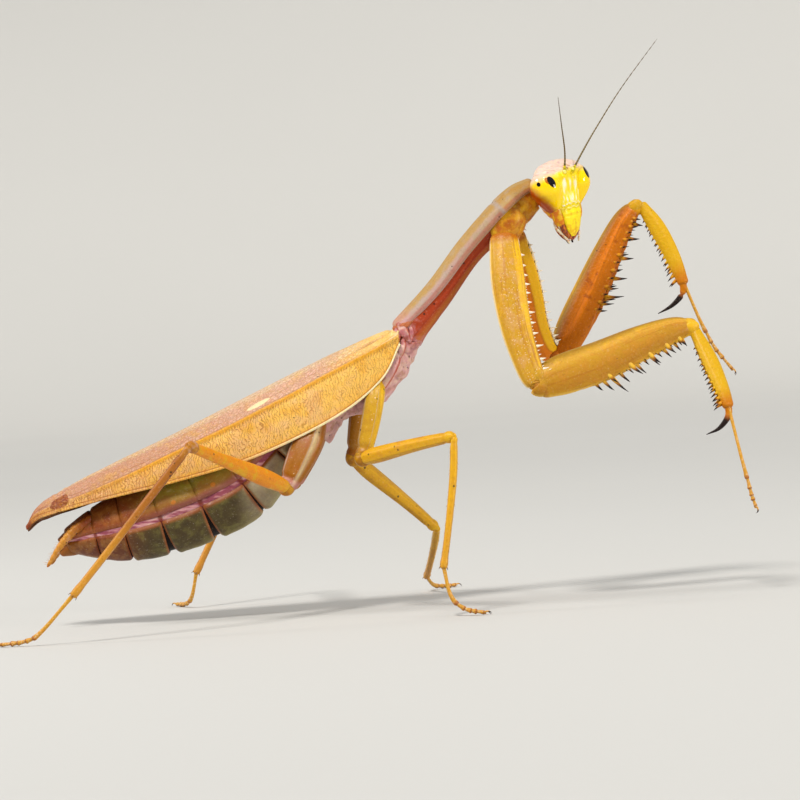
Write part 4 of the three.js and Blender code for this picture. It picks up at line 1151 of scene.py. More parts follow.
def trunk_stations():
    """Middle, half width, reach below and reach above from the abdomen to the head."""
    rows = list(THORAX)
    crest = [s[0] for s in PROTHORAX]
    for i, (top, _, arch, deep, belly) in enumerate(PROTHORAX):
        way = way_along(crest, i / (len(crest) - 1))
        up = Vector((-way.z, 0, way.x))
        rows.append((top - up * (arch + 0.1), belly, deep - arch - 0.1, 0.85))
    rows.append((Vector((20.6, -0.2, 55.9)), 1.6, 1.9, 1.3))
    rows.append((Vector((22.3, -1.0, 56.2)), 1.4, 1.6, 1.3))
    return rows


def trunk_piece(finish):
    """One skin over the thorax, the underside of the prothorax and the neck."""
    hide = Hide()
    stations = trunk_stations()
    middles = [s[0] for s in stations]
    count, sides = 150, 56
    rows = []
    for i in range(count + 1):
        run = i / count
        way = way_along(middles, run)
        up = square(UP, way)
        across = way.cross(up)
        wide, below, above = columns(stations, run, 1, 2, 3)
        spots, places, marks = [], [], []
        for _, c, s in around(sides, 0.5):
            reach = above if s > 0 else below
            spot = along(middles, run) + across * (wide * c) + up * (reach * s)
            outward = (across * c + up * s).normalized()
            rear = ease(0.5, 0.3, run)
            front = ease(0.56, 0.66, run)
            crease = ripple(spot.x * 0.55, spot.y * 0.5, spot.z * 0.8)
            fine = noise.noise(spot * 1.6 + Vector((7, 3, 1)))
            bent = Vector((spot.x * 0.5 + spot.z * 0.3, abs(spot.y) * 0.35, spot.z * 0.2))
            line = rear * max(0.0, 1 - 7.0 * abs(noise.noise(bent))) ** 1.5
            stand = rear * (0.45 * crease + 0.05 * fine) + front * (0.16 * crease + 0.08 * fine)
            stand -= 0.3 * line
            # The mark carries the crease lines, along which the side finish paints shade.
            marks.append(line)
            stand -= 0.22 * bump(0.85, 0.012, run) + 0.2 * bump(0.9, 0.012, run)
            for seam in (0.07, 0.17, 0.27):
                off = run - seam - 0.03 * s * abs(c)
                stand += 0.16 * bump(0.012, 0.016, off) - 0.2 * bump(0, 0.01, off)
            stand += 0.09 * bump(-0.35, 0.13, s) * ease(0.4, 0.45, run) * ease(0.66, 0.6, run)
            stand -= 0.08 * bump(-0.7, 0.16, s) * ease(0.4, 0.45, run) * ease(0.66, 0.6, run)
            spots.append(spot + outward * stand)
            places.append((run, c, s))
        rows.append(hide.ring(spots, places, marks))
    hide.tube(rows)

    def rough(run, turn):
        where = Vector((run * 6, cos(turn) * 2.5, sin(turn) * 2.5))
        return 0.14 * noise.noise(where * 0.7) + 0.03 * noise.noise(where * 2.2)

    chance = random.Random(5)
    for side in (-1, 1):
        # The collar that carries a fore coxa, with the fine hairs of the throat.
        collar = path((16.6, 0.9, 54.0), (16.1, 1.4, 51.9), (15.7, 1.8, 50.4),
                      (15.5, 2.1, 49.2), side=side)
        wide, deep = [1.9, 1.75, 1.3, 0.8], [2.3, 2.55, 2.2, 1.5]
        limb(hide, collar, wide, deep, AHEAD, LEFT * side, rings=26, sides=36, index=0.85,
             form=rough, ends=(0.7, 0.3), span=0.05)
        for _ in range(170):
            run, turn = chance.uniform(0.1, 1.0), chance.uniform(0, tau)
            way = way_along(collar, run)
            up = square(AHEAD, way)
            aside = way.cross(up) * cos(turn) + up * sin(turn)
            foot = along(collar, run) + way.cross(up) * (along(wide, run) * cos(turn))
            foot += up * (along(deep, run) * sin(turn))
            tip = foot + aside * chance.uniform(0.2, 0.4) + way * chance.uniform(0.1, 0.3)
            thorn(hide, foot, tip, BRISTLE, (0.9, 0, 0), sides=4, marks=(0, -0.6))
        # Small shields and folds at the root of the wing: ends, middle, thickness, width, mark.
        for top, middle, low, thick, broad, mark in WING_ROOT:
            lobe = path(top, middle, low, side=side)
            limb(hide, lobe, [thick * 0.7, thick, thick * 0.6], [broad * 0.6, broad, broad * 0.5],
                 AHEAD, LEFT * side, rings=18, sides=18, index=0.3, form=rough, mark=mark,
                 span=0.0, ends=(0.9, 0.9))
    nodes = ["prothorax", "mesothorax", "metathorax", "neck"]
    return make("trunk", hide, finish, nodes)


WING_ROOT = [
    ((0.5, 1.7, 39.0), (1.0, 2.3, 37.9), (1.6, 2.2, 36.6), 0.34, 0.75, -0.8),
    ((1.7, 1.6, 38.8), (2.15, 2.0, 37.7), (1.8, 2.2, 36.3), 0.28, 0.42, -0.3),
    ((0.9, 2.3, 36.7), (0.65, 2.85, 35.6), (0.3, 2.8, 34.5), 0.4, 0.6, -0.9),
    ((0.1, 2.7, 35.0), (-0.9, 3.3, 33.0), (-2.2, 3.3, 30.6), 0.42, 0.9, -0.5),
    ((-0.2, 1.7, 38.4), (0.9, 2.0, 38.5), (2.4, 1.8, 39.3), 0.4, 0.45, 1.5),
    ((0.1, 1.9, 38.2), (0.1, 2.4, 37.3), (-0.3, 2.8, 35.9), 0.45, 0.6, -0.3),
    ((-0.6, 2.6, 36.2), (-1.2, 3.1, 34.6), (-2.2, 3.2, 32.6), 0.5, 0.8, -0.2),
]


class MANTIS_OT_trunk(bpy.types.Operator):
    """Makes the shield and the skin of thorax and neck below it"""

    bl_idname = "mantis.trunk"
    bl_label = "Shield and trunk"

    def execute(self, context):
        shield_piece(shield_finish(colours()))
        trunk_piece(side_finish(colours()))
        return {"FINISHED"}


# ---------------- abdomen
def abdomen_ring(segments):
    """Middle, across, up, half width and half height at a number of segments from the thorax."""
    run = segments / (len(ABDOMEN) - 1)
    middles = [s[0] for s in ABDOMEN]
    way = way_along(middles, run)
    up = Vector((way.z, 0, -way.x))
    tall, wide = columns(ABDOMEN, run, 1, 2)
    return along(middles, run), LEFT, up, wide, tall


def fold_piece(finish):
    """The soft skin under the plates, painted near black as shade where it shows between the belly
    plates.
    """
    hide = Hide()
    rows, segments, sides = [], len(ABDOMEN) - 1, 64
    for i in range(segments * 14 + 1):
        run = i / 14
        middle, across, up, wide, tall = abdomen_ring(run)
        within = run - floor(run)
        pinch = 1 - 0.035 * bump(0.5, 0.5, abs(within - 0.5))
        spots, places = [], []
        for _, c, s in around(sides, 0.5):
            size = 0.965 * pinch
            size += 0.055 * bump(0.0, 0.06, s)
            spots.append(middle + across * (wide * c * size) + up * (tall * s * size))
            places.append((run, s, ease(-0.16, -0.26, s)))
        rows.append(hide.ring(spots, places))
    hide.tube(rows)
    return make("abdomen_folds", hide, finish)


def plate(hide, segment, belly, step):
    """One belly or back plate, rounded down to the skin at its edges."""
    along_count, across_count = 16, 40
    open_turn = 0.09 if belly else 0.06
    front_gap, rear_gap = (0.07 if belly and n in (3, 4) else 0.012 for n in (segment, segment + 1))
    rows = []
    for i in range(along_count + 1):
        t = i / along_count
        spots, places = [], []
        for k in range(across_count + 1):
            w = k / across_count
            turn = lerp(open_turn, pi - open_turn, w) * (-1 if belly else 1)
            low = abs(sin(turn))
            start = segment + 0.01 + front_gap * low ** 1.5
            end = segment + 0.99 - rear_gap * low ** 1.5
            if not belly:
                end = segment + 1.03
            run = lerp(start, end, t)
            middle, across, up, wide, tall = abdomen_ring(min(run, len(ABDOMEN) - 1))
            reach = (wide + tall) / 2
            from_edge = min(t, 1 - t) * 5.2
            from_side = min(w, 1 - w) * pi * reach
            rise = 1 - (1 - min(from_edge / 0.3, 1)) ** 2
            rise *= 1 - (1 - min(from_side / 0.6, 1)) ** 2
            stand = step * (rise * 1.5 - 0.5) + 0.018 * wide * sin(pi * t) * rise
            if belly:
                stand += 0.12 * rise * bump(0.9, 0.12, t)
            else:
                stand += 0.1 * t - 0.1 * bump(0.5, 0.03, w)
            stand += 0.05 * ripple(run * 9, w * 7, segment) * rise
            c, s = cos(turn), sin(turn)
            spots.append(middle + across * ((wide * 0.985 + stand) * c)
                         + up * ((tall * 0.985 + stand) * s))
            lift = min(w, 1 - w) * 2
            places.append((t, 1 - lift if belly else lift, 0.0 if belly else 1.0))
        rows.append(hide.ring(spots, places))
    hide.sheet(rows)


def plates_piece(finish):
    hide = Hide()
    step = sizes().plate_step / MM
    for segment in range(len(ABDOMEN) - 1):
        plate(hide, segment, True, step)
        plate(hide, segment, False, step)
    # The tip: the last belly plate's keel and the blunt plate above it.
    tip = path((-44.0, 0, 11.6), (-46.0, 0, 11.0), (-47.4, 0, 10.6))
    limb(hide, tip, [1.35, 1.2, 0.7], [1.2, 1.05, 0.7], UP, rings=10, sides=16)
    for side in (-1, 1):
        valve = path((-46.2, 0.4, 11.5), (-47.3, 0.42, 11.0), (-48.3, 0.3, 10.6), side=side)
        limb(hide, valve, [0.4, 0.35, 0.16], [0.35, 0.28, 0.14], UP, rings=8, sides=10)
    top = path((-44.4, 0, 14.0), (-46.4, 0, 13.2), (-47.7, 0, 12.3))
    limb(hide, top, [1.5, 1.3, 0.6], [0.5, 0.45, 0.3], UP, rings=8, sides=16)
    nodes = [f"abdomen_{i + 1}" for i in range(len(ABDOMEN) - 1)]
    return make("abdomen_plates", hide, finish, nodes)


def cercus_piece(name, side, finish):
    """A beaded tail feeler with fine bristles."""
    hide = Hide()
    beads = 11
    points = path((-43.2, 1.7, 14.9), (-45.4, 2.3, 13.6), (-47.4, 2.7, 11.6),
                  (-49.3, 2.9, 8.9), side=side)

    def beaded(run, turn):
        return 0.09 * (abs(sin(pi * beads * run)) ** 0.5 - 0.6)

    limb(hide, points, [0.7, 0.7, 0.5, 0.2], [0.75, 0.66, 0.46, 0.2], UP, LEFT * side, 66, 18,
         index=2.0, form=beaded)
    chance = random.Random(11)
    for i in range(46):
        run = lerp(0.08, 0.98, i / 45)
        way = way_along(points, run)
        aside = turned(way, chance.uniform(0, tau))
        foot = along(points, run) + aside * 0.3
        tip = foot + aside * chance.uniform(0.45, 0.75) + way * 0.3
        thorn(hide, foot, tip, BRISTLE, (2.5, 0, 0), sides=4, marks=(0.0, 0.5))
    return make(f"{name}_cercus", hide, finish, [f"cercus_{name}"])


class MANTIS_OT_abdomen(bpy.types.Operator):
    """Makes the plates and folds of the abdomen and its two tail feelers"""

    bl_idname = "mantis.abdomen"
    bl_label = "Abdomen"

    def execute(self, context):
        fold_piece(fold_finish(colours()))
        plates_piece(plate_finish(colours()))
        finish = leg_finish(colours())
        cercus_piece("right", -1, finish)
        cercus_piece("left", 1, finish)
        return {"FINISHED"}


# ---------------- wings
FOLD = 0.6  # where the main vein lies across a wing


def wing_station(run):
    return columns(WING, run, *range(7))


def roof(station, aside):
    """Height of the folded wings at a distance from the middle of the back."""
    return station[1] - (station[1] - station[2]) * (aside / station[4]) ** 2


def forewing_point(run, share, under):
    """Point of the right forewing; the one that lies under sinks a little at the back."""
    s = wing_station(run)
    x, _, vein, edge, vein_out, edge_out, lap = s
    if share <= FOLD:
        y = lerp(lap, -vein_out, share / FOLD)
        deepen = ease(0.1, 0.26, run)
        sink = 0.27 * deepen * ease(-4.2, -2.1, y) if under else 0.0
        return Vector((x, y, roof(s, y) - sink))
    t = (share - FOLD) / (1 - FOLD)
    y = -vein_out - (edge_out - vein_out) * sin(t * pi / 2)
    return Vector((x, y, lerp(vein, edge, t)))


def hindwing_point(run, share):
    s = wing_station(0.2 + 0.79 * run)
    depth, inner, outer = lerp(2.1, 0.7, ease(0.5, 1.0, run)), -0.2, -0.7 * s[4]
    if share <= FOLD:
        y = lerp(inner, outer, share / FOLD)
        return Vector((s[0], y, roof(s, y) - depth))
    t = (share - FOLD) / (1 - FOLD)
    shown = ease(0.5, 0.8, run)
    top = roof(s, outer) - depth
    low = min(lerp(top - 0.8, s[3] + 0.2 - 0.75 * ease(0.58, 0.74, run), shown), top - 0.4)
    y = lerp(outer, -(s[5] - 1.0), sin(t * pi / 2))
    return Vector((s[0], y, lerp(top, low, t)))


def wing_grid(hide, point, side, columns, rows, relief):
    """A sheet over point(along, across) with its relief, mirrored for side 1."""
    lines = []
    step = 0.004
    for i in range(columns + 1):
        u = i / columns
        spots, places = [], []
        vein = point(u, FOLD)
        for j in range(rows + 1):
            v = j / rows
            spot = point(u, v)
            run = point(min(u + step, 1), v) - point(max(u - step, 0), v)
            over = point(u, min(v + step, 1)) - point(u, max(v - step, 0))
            normal = run.cross(over).normalized()
            place = ((0.4 - spot.x) * 1.1, copysign((spot - vein).length, v - FOLD), v)
            spot = spot + normal * relief(u, v, place)
            if side > 0:
                spot.y = -spot.y
            spots.append(spot)
            places.append(place)
        lines.append(hide.ring(spots, places))
    hide.sheet(lines)


def forewing_relief(u, v, place):
    """Height of the veins, the rim and the soft waves of a forewing."""
    run, out, _ = place
    height = 0.16 * bump(0.1, 0.5, out) - 0.14 * bump(-0.35, 0.4, out)
    height += 0.1 * ease(0.975, 0.99, v)
    height += 0.16 * ripple(run * 0.16, out * 0.3, 2.0) * ease(0.1, 0.5, v)
    height += 0.05 * ripple(run * 0.7, out * 0.8, 5.0) * ease(0.1, 0.5, v)
    height += 0.03 * sin(out * 4.2) * ease(-0.6, -1.0, out)
    height += 0.3 * ripple(run * 1.3, out * 1.1, 9.0) * bump(52.3, 2.2, run)
    height += ease(12.0, 3.0, run) * (0.14 * bump(-1.1, 0.3, out) - 0.22 * bump(-1.9, 0.5, out))
    shoulder = ease(4.0, 0.5, run)
    crumple = 0.3 * ripple(run * 1.2, out * 1.3, 4.0) * ease(-0.3, -0.9, out)
    return height + shoulder * (0.35 * bump(-0.4, 1.4, out) + 0.15 + crumple)


class MANTIS_OT_wings(bpy.types.Operator):
    """Makes the folded forewings and the hindwings that show under them"""

    bl_idname = "mantis.wings"
    bl_label = "Wings"

    def execute(self, context):
        front, hind = wing_finish(colours(), sizes()), hindwing_finish(colours())
        thickness = sizes().wing_thickness
        for name, side in (("right", -1), ("left", 1)):
            def surface(u, v, under=side > 0):
                return forewing_point(u, v, under)

            hide = Hide()
            wing_grid(hide, surface, side, 190, 60, forewing_relief)
            make(f"{name}_forewing", hide, front, [f"forewing_{name}"], 0, thickness)
            hide = Hide()
            wing_grid(hide, hindwing_point, side, 90, 40, lambda u, v, place: 0.07 * sin(place[1] * 7))
            make(f"{name}_hindwing", hide, hind, [f"hindwing_{name}"], 0, thickness / 2)
        return {"FINISHED"}


# ---------------- head
def skull_form(spot, ahead):
    """How far the head capsule stands out at a point, and how much of a ridge lies there."""
    x, y, z = spot
    stand = ridge = 0.0
    if ahead > 0:
        brow = ease(-2.75, -2.1, z) * ease(1.35, 0.7, z)
        for at, size in ((-1.4, 0.7), (-0.93, 1.0), (-0.48, 0.7), (0.0, 0.9), (0.5, 0.7),
                         (0.95, 1.0), (1.4, 0.7)):
            rib = bump(at + 0.13 * sin(z * 1.5 + at * 3), 0.23, y) * brow * size
            rib *= 0.75 + 0.7 * ripple(z * 0.9, at * 2.0, 3.0)
            stand += 0.15 * rib
            ridge = max(ridge, rib)
        stand -= 0.1 * bump(-1.0, 1.4, z) * bump(0, 1.7, y)
        crease = -2.8 - 0.12 * abs(y) + 0.1 * sin(y * 6.0) + 0.05 * sin(y * 13.0 + 1)
        stand -= 0.2 * bump(crease, 0.18, z) * ease(2.3, 1.8, abs(y))
        lip = bump(crease + 0.3, 0.22, z) * ease(2.2, 1.7, abs(y))
        stand += lip * (0.1 + 0.08 * sin(y * 11.0))
        ridge = max(ridge, lip * (0.6 + 0.4 * sin(y * 11.0)))
        low = bump(crease - 0.28, 0.2, z) * ease(1.5, 1.1, abs(y))
        stand += 0.12 * low
        ridge = max(ridge, 0.45 * low)
        for side in (-1, 1):
            away = hypot(y - side * 0.86, (z - 1.8) * 0.9)
            stand += 0.26 * bump(0.52, 0.32, away) - 0.15 * bump(0, 0.3, away)
            knob = hypot(y - side * 1.45, z - 1.3)
            stand += 0.16 * bump(0, 0.5, knob)
    crown = ease(1.2, 2.4, z)
    groove = abs(y) - 1.9
    stand -= 0.09 * bump(0, 0.16, groove) * crown
    stand += 0.035 * sin(x * 5.5 + y * 1.3 + 2.0 * noise.noise(spot * 0.6)) * crown
    stand += 0.07 * noise.noise(spot * 1.1)
    jowl = ease(-2.2, -3.6, z) * ease(0.9, 0.1, ahead)
    stand += 0.16 * noise.noise(spot * 1.7) * jowl
    return stand, ridge


def head_piece(finish):
    """The capsule with its ridges, top lip, cheeks and the three small eyes of the crown."""
    hide = Hide()
    rings, sides, rows = 84, 88, []
    for i in range(rings + 1):
        t = i / rings
        run = 0.5 - 0.5 * cos(pi * t) if t < 0.12 else t
        z, middle, wide, deep = (along([s[j] for s in SKULL], run) for j in range(4))
        spots, marks = [], []
        for _, c, s in around(sides):
            flat = 0.88 if c > 0 else 1.0
            spot = Vector((middle + deep * copysign(abs(c) ** flat, c),
                           wide * copysign(abs(s) ** 0.92, s), z))
            stand, ridge = skull_form(spot, c)
            outward = Vector((c / deep, s / wide, 0)).normalized()
            spots.append(spot + outward * stand)
            marks.append(ridge)
        rows.append(hide.ring(spots, [(0, 0, 0)] * sides, marks))
    hide.tube(rows)

    # Top lip: a tongue over the jaws with a narrow seam along either side.
    def lip(run, turn):
        edge = bump(0, 0.5, sin(turn)) * -0.08
        edge -= 0.07 * bump(pi / 2, 0.09, turn) * ease(0.3, 0.5, run)
        edge += 0.05 * sin(turn * 9) * bump(0.12, 0.16, run)
        return edge + 0.06 * bump(0.24, 0.07, run) - 0.07 * bump(0.3, 0.05, run)

    limb(hide, path((1.35, 0, -3.0), (1.6, 0, -4.0), (1.62, 0, -5.2), (1.55, 0, -6.3), (1.45, 0, -6.95)),
         [1.95, 1.9, 1.6, 1.2, 0.6], [0.45, 0.5, 0.5, 0.4, 0.22], AHEAD, rings=30, sides=44,
         form=lip, mark=-1.0)
    for side in (-1, 1):
        # Cheek plate beside the lip, and the small feet of the feelers.
        limb(hide, path((0.7, 2.0, -3.1), (0.75, 1.75, -4.2),
                        (0.75, 1.35, -5.3), (0.85, 0.95, -6.2), side=side),
             [0.8, 0.95, 0.8, 0.4], [0.75, 0.9, 0.75, 0.4], AHEAD, rings=20, sides=18)
        blob(hide, Vector((1.98, side * 0.86, 1.85)), (0.32, 0.34, 0.34), (0, 0, 0), sides=12,
             rings=8, mark=0.3)
        blob(hide, Vector((1.75, side * 0.38, 2.62)), (0.2, 0.2, 0.22), (0, 0, 0), sides=12, rings=8)
    blob(hide, Vector((2.02, 0, 2.3)), (0.2, 0.2, 0.22), (0, 0, 0), sides=12, rings=8)
    hide.places = [tuple(spot) for spot in hide.points]
    hide.points = [HEAD @ spot for spot in hide.points]
    return make("head_capsule", hide, finish, ["head"])


def eye_piece(name, side, finish):
    """A large smooth eye that narrows towards the cheek."""
    hide = Hide()
    tilt = Matrix.Rotation(radians(-side * EYE_TILT), 3, "X")
    at = Vector((EYE_AT.x, side * EYE_AT.y, EYE_AT.z))
    rings, sides, rows = 44, 64, []
    for i in range(1, rings):
        lean = pi * i / rings
        z = cos(lean)
        spots, places = [], []
        for _, c, s in around(sides):
            x, y = sin(lean) * c, sin(lean) * s
            narrow = 1 - 0.28 * ease(0.1, -1.0, z)
            reach = Vector((x * EYE_SIZE.x * narrow, y * EYE_SIZE.y * narrow, z * EYE_SIZE.z))
            reach.z -= 0.9 * ease(-0.1, -1.0, z)
            reach.y -= side * 0.45 * ease(-0.1, -1.0, z)
            spots.append(HEAD @ (at + tilt @ reach))
            places.append((x, side * y, z))
        rows.append(hide.ring(spots, places))
    hide.tube(rows)
    return make(f"{name}_eye", hide, finish, [f"eye_{name}"])


def mouth_piece(finish):
    """Jaws, and the inner mouthparts that hang behind them."""
    hide = Hide()
    for side in (-1, 1):
        def jaw(run, turn):
            return 0.1 * bump(pi, 0.6, turn) * ease(0.2, 0.6, run)

        limb(hide, path((0.9, 1.7, -4.7), (1.0, 1.25, -5.8),
                        (1.1, 0.6, -6.9), (1.1, 0.1, -7.6), side=side),
             [0.6, 0.7, 0.55, 0.2], [0.5, 0.55, 0.4, 0.15], AHEAD, rings=16, sides=16,
             form=jaw, matrix=HEAD)
        # Pale rim of the jaw.
        limb(hide, path((0.75, 2.25, -5.0), (0.95, 1.75, -6.0),
                        (1.05, 1.0, -6.95), (1.1, 0.35, -7.7), side=side),
             [0.12, 0.17, 0.17, 0.12], [0.1, 0.14, 0.14, 0.1], AHEAD, rings=16, sides=10,
             mark=0.9, matrix=HEAD)
        limb(hide, path((0.1, 1.3, -4.6), (0.1, 1.25, -5.8),
                        (0.35, 0.85, -6.9), (0.6, 0.4, -7.7), side=side),
             [0.6, 0.65, 0.5, 0.2], [0.5, 0.55, 0.4, 0.2], AHEAD, rings=16, sides=14, matrix=HEAD)
        limb(hide, path((0.1, 0.45, -6.2), (0.4, 0.5, -7.4), (0.75, 0.4, -8.1), side=side),
             [0.22, 0.2, 0.14], [0.2, 0.2, 0.14], AHEAD, rings=10, sides=10, mark=-1, matrix=HEAD)
    limb(hide, path((-0.5, 0, -3.8), (-0.35, 0, -5.2), (0.1, 0, -6.6), (0.5, 0, -7.7)),
         [1.1, 1.15, 0.85, 0.4], [0.7, 0.7, 0.5, 0.25], AHEAD, rings=18, sides=20, matrix=HEAD)
    return make("jaws", hide, finish, ["mouthparts"])


def palp_piece(name, side, finish):
    """A thin jointed palp beside the mouth."""
    hide = Hide()

    def jointed(run, turn):
        return -0.07 * (bump(0.27, 0.05, run) + bump(0.52, 0.05, run) + bump(0.77, 0.05, run))

    tuck = 0.9 if side < 0 else 0.0
    limb(hide, path((-0.3, 1.4, -4.6), (0.1 + tuck * 0.3, 2.15, -5.5),
                    (0.55 + tuck * 0.3, (2.1 - tuck * 0.6), -6.6),
                    (0.8 + tuck * 0.2, (1.75 - tuck), -7.5),
                    (0.85 + tuck * 0.2, (1.55 - tuck * 1.1), -8.1), side=side),
         [0.3, 0.27, 0.23, 0.2, 0.14], [0.26, 0.22, 0.2, 0.17, 0.12], AHEAD, rings=40, sides=12,
         form=jointed, mark=1.0, matrix=HEAD)
    return make(f"{name}_palp", hide, finish, [f"palp_{name}"])


def feeler_piece(name, side, finish):
    """A feeler: a stout root joint, a small second one and a long beaded thread."""
    hide = Hide()
    points = FEELERS[name]
    thick = sizes().feeler_thickness / MM / 2
    way = way_along(points, 0.0)
    limb(hide, [points[0] - way * 0.45, points[0] + way * 0.2, points[0] + way * 0.75],
         [0.24, 0.26, 0.2], [0.24, 0.26, 0.2], AHEAD, rings=10, sides=14, index=-2.0)
    limb(hide, [points[0] + way * 0.85, points[0] + way * 1.25], [0.17, 0.15], [0.17, 0.15],
         AHEAD, rings=6, sides=12, index=-0.6)

    def beads(run, turn):
        return 0.022 * sin(tau * 38 * run)

    limb(hide, points, [thick * s for s in (1, 0.9, 0.75, 0.6, 0.42, 0.25)],
         [thick * s for s in (1, 0.9, 0.75, 0.6, 0.42, 0.25)], AHEAD, rings=304, sides=8, form=beads)
    return make(f"{name}_antenna", hide, finish, [f"antenna_{name}"])


class MANTIS_OT_head(bpy.types.Operator):
    """Makes the head with its eyes, mouthparts and feelers"""

    bl_idname = "mantis.head"
    bl_label = "Head"

    def execute(self, context):
        head_piece(face_finish(colours()))
        eye, mouth = eye_finish(colours()), mouth_finish(colours())
        feeler = feeler_finish(colours())
        mouth_piece(mouth)
        for name, side in (("right", -1), ("left", 1)):
            eye_piece(name, side, eye)
            palp_piece(name, side, mouth)
            feeler_piece(name, side, feeler)
        return {"FINISHED"}


# ---------------- legs
# Every part of a leg runs from the body outwards.
LEGS = {
    "foreleg_right": {
        "coxa": path((15.5, -2.2, 49.6), (15.6, -4.0, 45.0), (15.85, -5.0, 41.0),
                     (16.5, -6.1, 36.4), (17.9, -7.1, 31.2), (18.7, -7.35, 29.8)),
        "femur": path((19.2, -7.3, 29.85), (22.4, -6.6, 30.8), (27.4, -5.4, 32.2),
                      (33.0, -4.1, 34.3), (37.5, -3.0, 35.8), (40.5, -2.3, 36.2)),
        "tibia": path((40.6, -2.4, 35.7), (42.2, -4.6, 31.6), (43.3, -6.4, 28.2), (44.1, -7.7, 25.3)),
        "claw": path((44.0, -7.6, 25.9), (44.1, -7.9, 24.0), (42.8, -7.9, 22.3), (41.0, -7.5, 21.5)),
        "tarsus": path((44.1, -7.9, 25.4), (45.4, -8.8, 18.2), (46.0, -9.0, 15.4),
                       (46.4, -9.2, 13.3), (46.9, -9.4, 11.5)),
        "under": Vector((0.26, -0.25, -0.93)),
        "depth": 1.0,
    },
    "foreleg_left": {
        "coxa": path((16.6, 2.2, 50.0), (17.5, 4.8, 46.6), (18.5, 7.6, 42.4), (19.3, 10.4, 38.0),
                     (20.7, 12.8, 34.6), (22.0, 13.35, 33.1)),
        "femur": path((22.9, 13.3, 33.4), (25.0, 13.1, 37.2), (27.5, 12.8, 41.7),
                      (30.2, 12.4, 46.9), (32.8, 12.0, 51.5), (34.9, 11.85, 53.6)),
        "tibia": path((35.5, 11.7, 53.4), (37.4, 10.5, 50.1), (39.1, 9.3, 46.2), (40.3, 8.1, 42.4)),
        "claw": path((40.2, 8.1, 43.1), (40.2, 8.0, 41.0), (38.7, 8.1, 39.3), (36.6, 8.4, 38.2)),
        "tarsus": path((40.3, 8.0, 42.6), (42.1, 8.2, 37.6), (43.1, 8.4, 35.3), (44.3, 8.7, 32.9),
                       (46.6, 9.2, 29.8)),
        "under": Vector((0.75, -0.5, -0.44)),
        "depth": 0.92,
    },
    "midleg_right": {
        "coxa": path((-3.1, -2.0, 31.4), (-3.4, -3.9, 29.2), (-4.3, -4.7, 25.4), (-5.4, -5.2, 21.6)),
        "femur": path((-5.6, -5.5, 21.0), (-3.5, -7.7, 21.5), (1.7, -13.1, 22.7), (6.4, -17.8, 23.6)),
        "tibia": path((6.8, -18.1, 23.3), (6.4, -18.5, 18.4), (5.4, -19.1, 12.0), (4.4, -19.6, 6.6)),
        "tarsus": path((4.4, -19.6, 6.7), (5.1, -19.9, 2.8), (6.8, -20.2, 1.0), (9.4, -20.6, 0.33)),
    },
    "midleg_left": {
        "coxa": path((-5.0, 2.0, 30.6), (-5.5, 3.9, 28.6), (-6.1, 4.7, 25.2), (-6.8, 5.2, 21.4)),
        "femur": path((-7.0, 5.5, 20.8), (-4.9, 7.5, 18.7), (-0.3, 11.6, 14.3), (3.7, 15.2, 10.2)),
        "tibia": path((4.1, 15.5, 9.8), (3.7, 19.6, 7.6), (3.0, 24.8, 4.7), (2.3, 29.8, 2.2)),
        "tarsus": path((2.3, 29.8, 2.2), (3.2, 32.3, 0.8), (4.6, 34.0, 0.4), (6.4, 35.6, 0.33)),
    },
    "hindleg_right": {
        "coxa": path((-12.0, -3.2, 26.2), (-12.8, -4.6, 23.9), (-14.2, -5.7, 21.1), (-15.8, -6.4, 18.2)),
        "femur": path((-16.0, -6.7, 17.8), (-19.0, -11.4, 19.6), (-23.6, -18.4, 22.3),
                      (-27.6, -24.7, 24.6)),
        "tibia": path((-27.9, -25.1, 24.4), (-32.8, -26.1, 18.8), (-38.3, -27.1, 12.5),
                      (-43.7, -28.0, 6.4)),
        "tarsus": path((-43.7, -28.0, 6.5), (-48.2, -27.0, 1.9), (-50.4, -26.3, 0.7),
                       (-53.8, -25.4, 0.33)),
    },
    "hindleg_left": {
        "coxa": path((-12.0, 3.2, 26.2), (-12.7, 4.6, 24.0), (-13.9, 5.7, 21.3), (-15.2, 6.4, 18.4)),
        "femur": path((-15.4, 6.7, 18.1), (-16.4, 12.7, 20.0), (-18.0, 20.8, 22.7), (-19.5, 27.8, 25.0)),
        "tibia": path((-19.8, 28.2, 24.9), (-23.1, 27.1, 19.3), (-26.9, 25.6, 12.3), (-30.7, 24.1, 5.2)),
        "tarsus": path((-30.7, 24.1, 5.3), (-31.6, 25.2, 1.8), (-32.6, 27.2, 0.6), (-34.2, 30.6, 0.33)),
    },
}

# Half widths and half depths of each part along its length.
GIRTH = {
    "foreleg": {
        "coxa": ([1.3, 1.5, 1.5, 1.35, 1.2, 0.9], [2.0, 2.35, 2.3, 2.1, 1.75, 1.35]),
        "femur": ([1.05, 1.3, 1.4, 1.3, 1.15, 0.8], [2.25, 2.8, 2.8, 2.4, 1.8, 1.15]),
        "tibia": ([0.6, 0.75, 0.75, 0.65], [0.8, 1.15, 1.05, 0.8]),
        "claw": ([0.42, 0.38, 0.26, 0.05], [0.56, 0.46, 0.3, 0.05]),
    },
    "midleg": {
        "coxa": ([1.3, 1.5, 1.35, 1.1], [1.3, 1.35, 1.3, 1.1]),
        "femur": ([0.8, 1.0, 0.8, 0.7], [0.8, 1.1, 0.9, 0.72]),
        "tibia": ([0.5, 0.52, 0.46, 0.46], [0.5, 0.54, 0.48, 0.46]),
    },
    "hindleg": {
        "coxa": ([1.5, 1.7, 1.5, 1.1], [1.9, 2.15, 1.9, 1.35]),
        "femur": ([0.9, 1.1, 0.8, 0.7], [0.9, 1.25, 0.9, 0.72]),
        "tibia": ([0.5, 0.54, 0.48, 0.46], [0.5, 0.56, 0.5, 0.46]),
    },
}


def side_of(name):
    return -1 if name.endswith("right") else 1


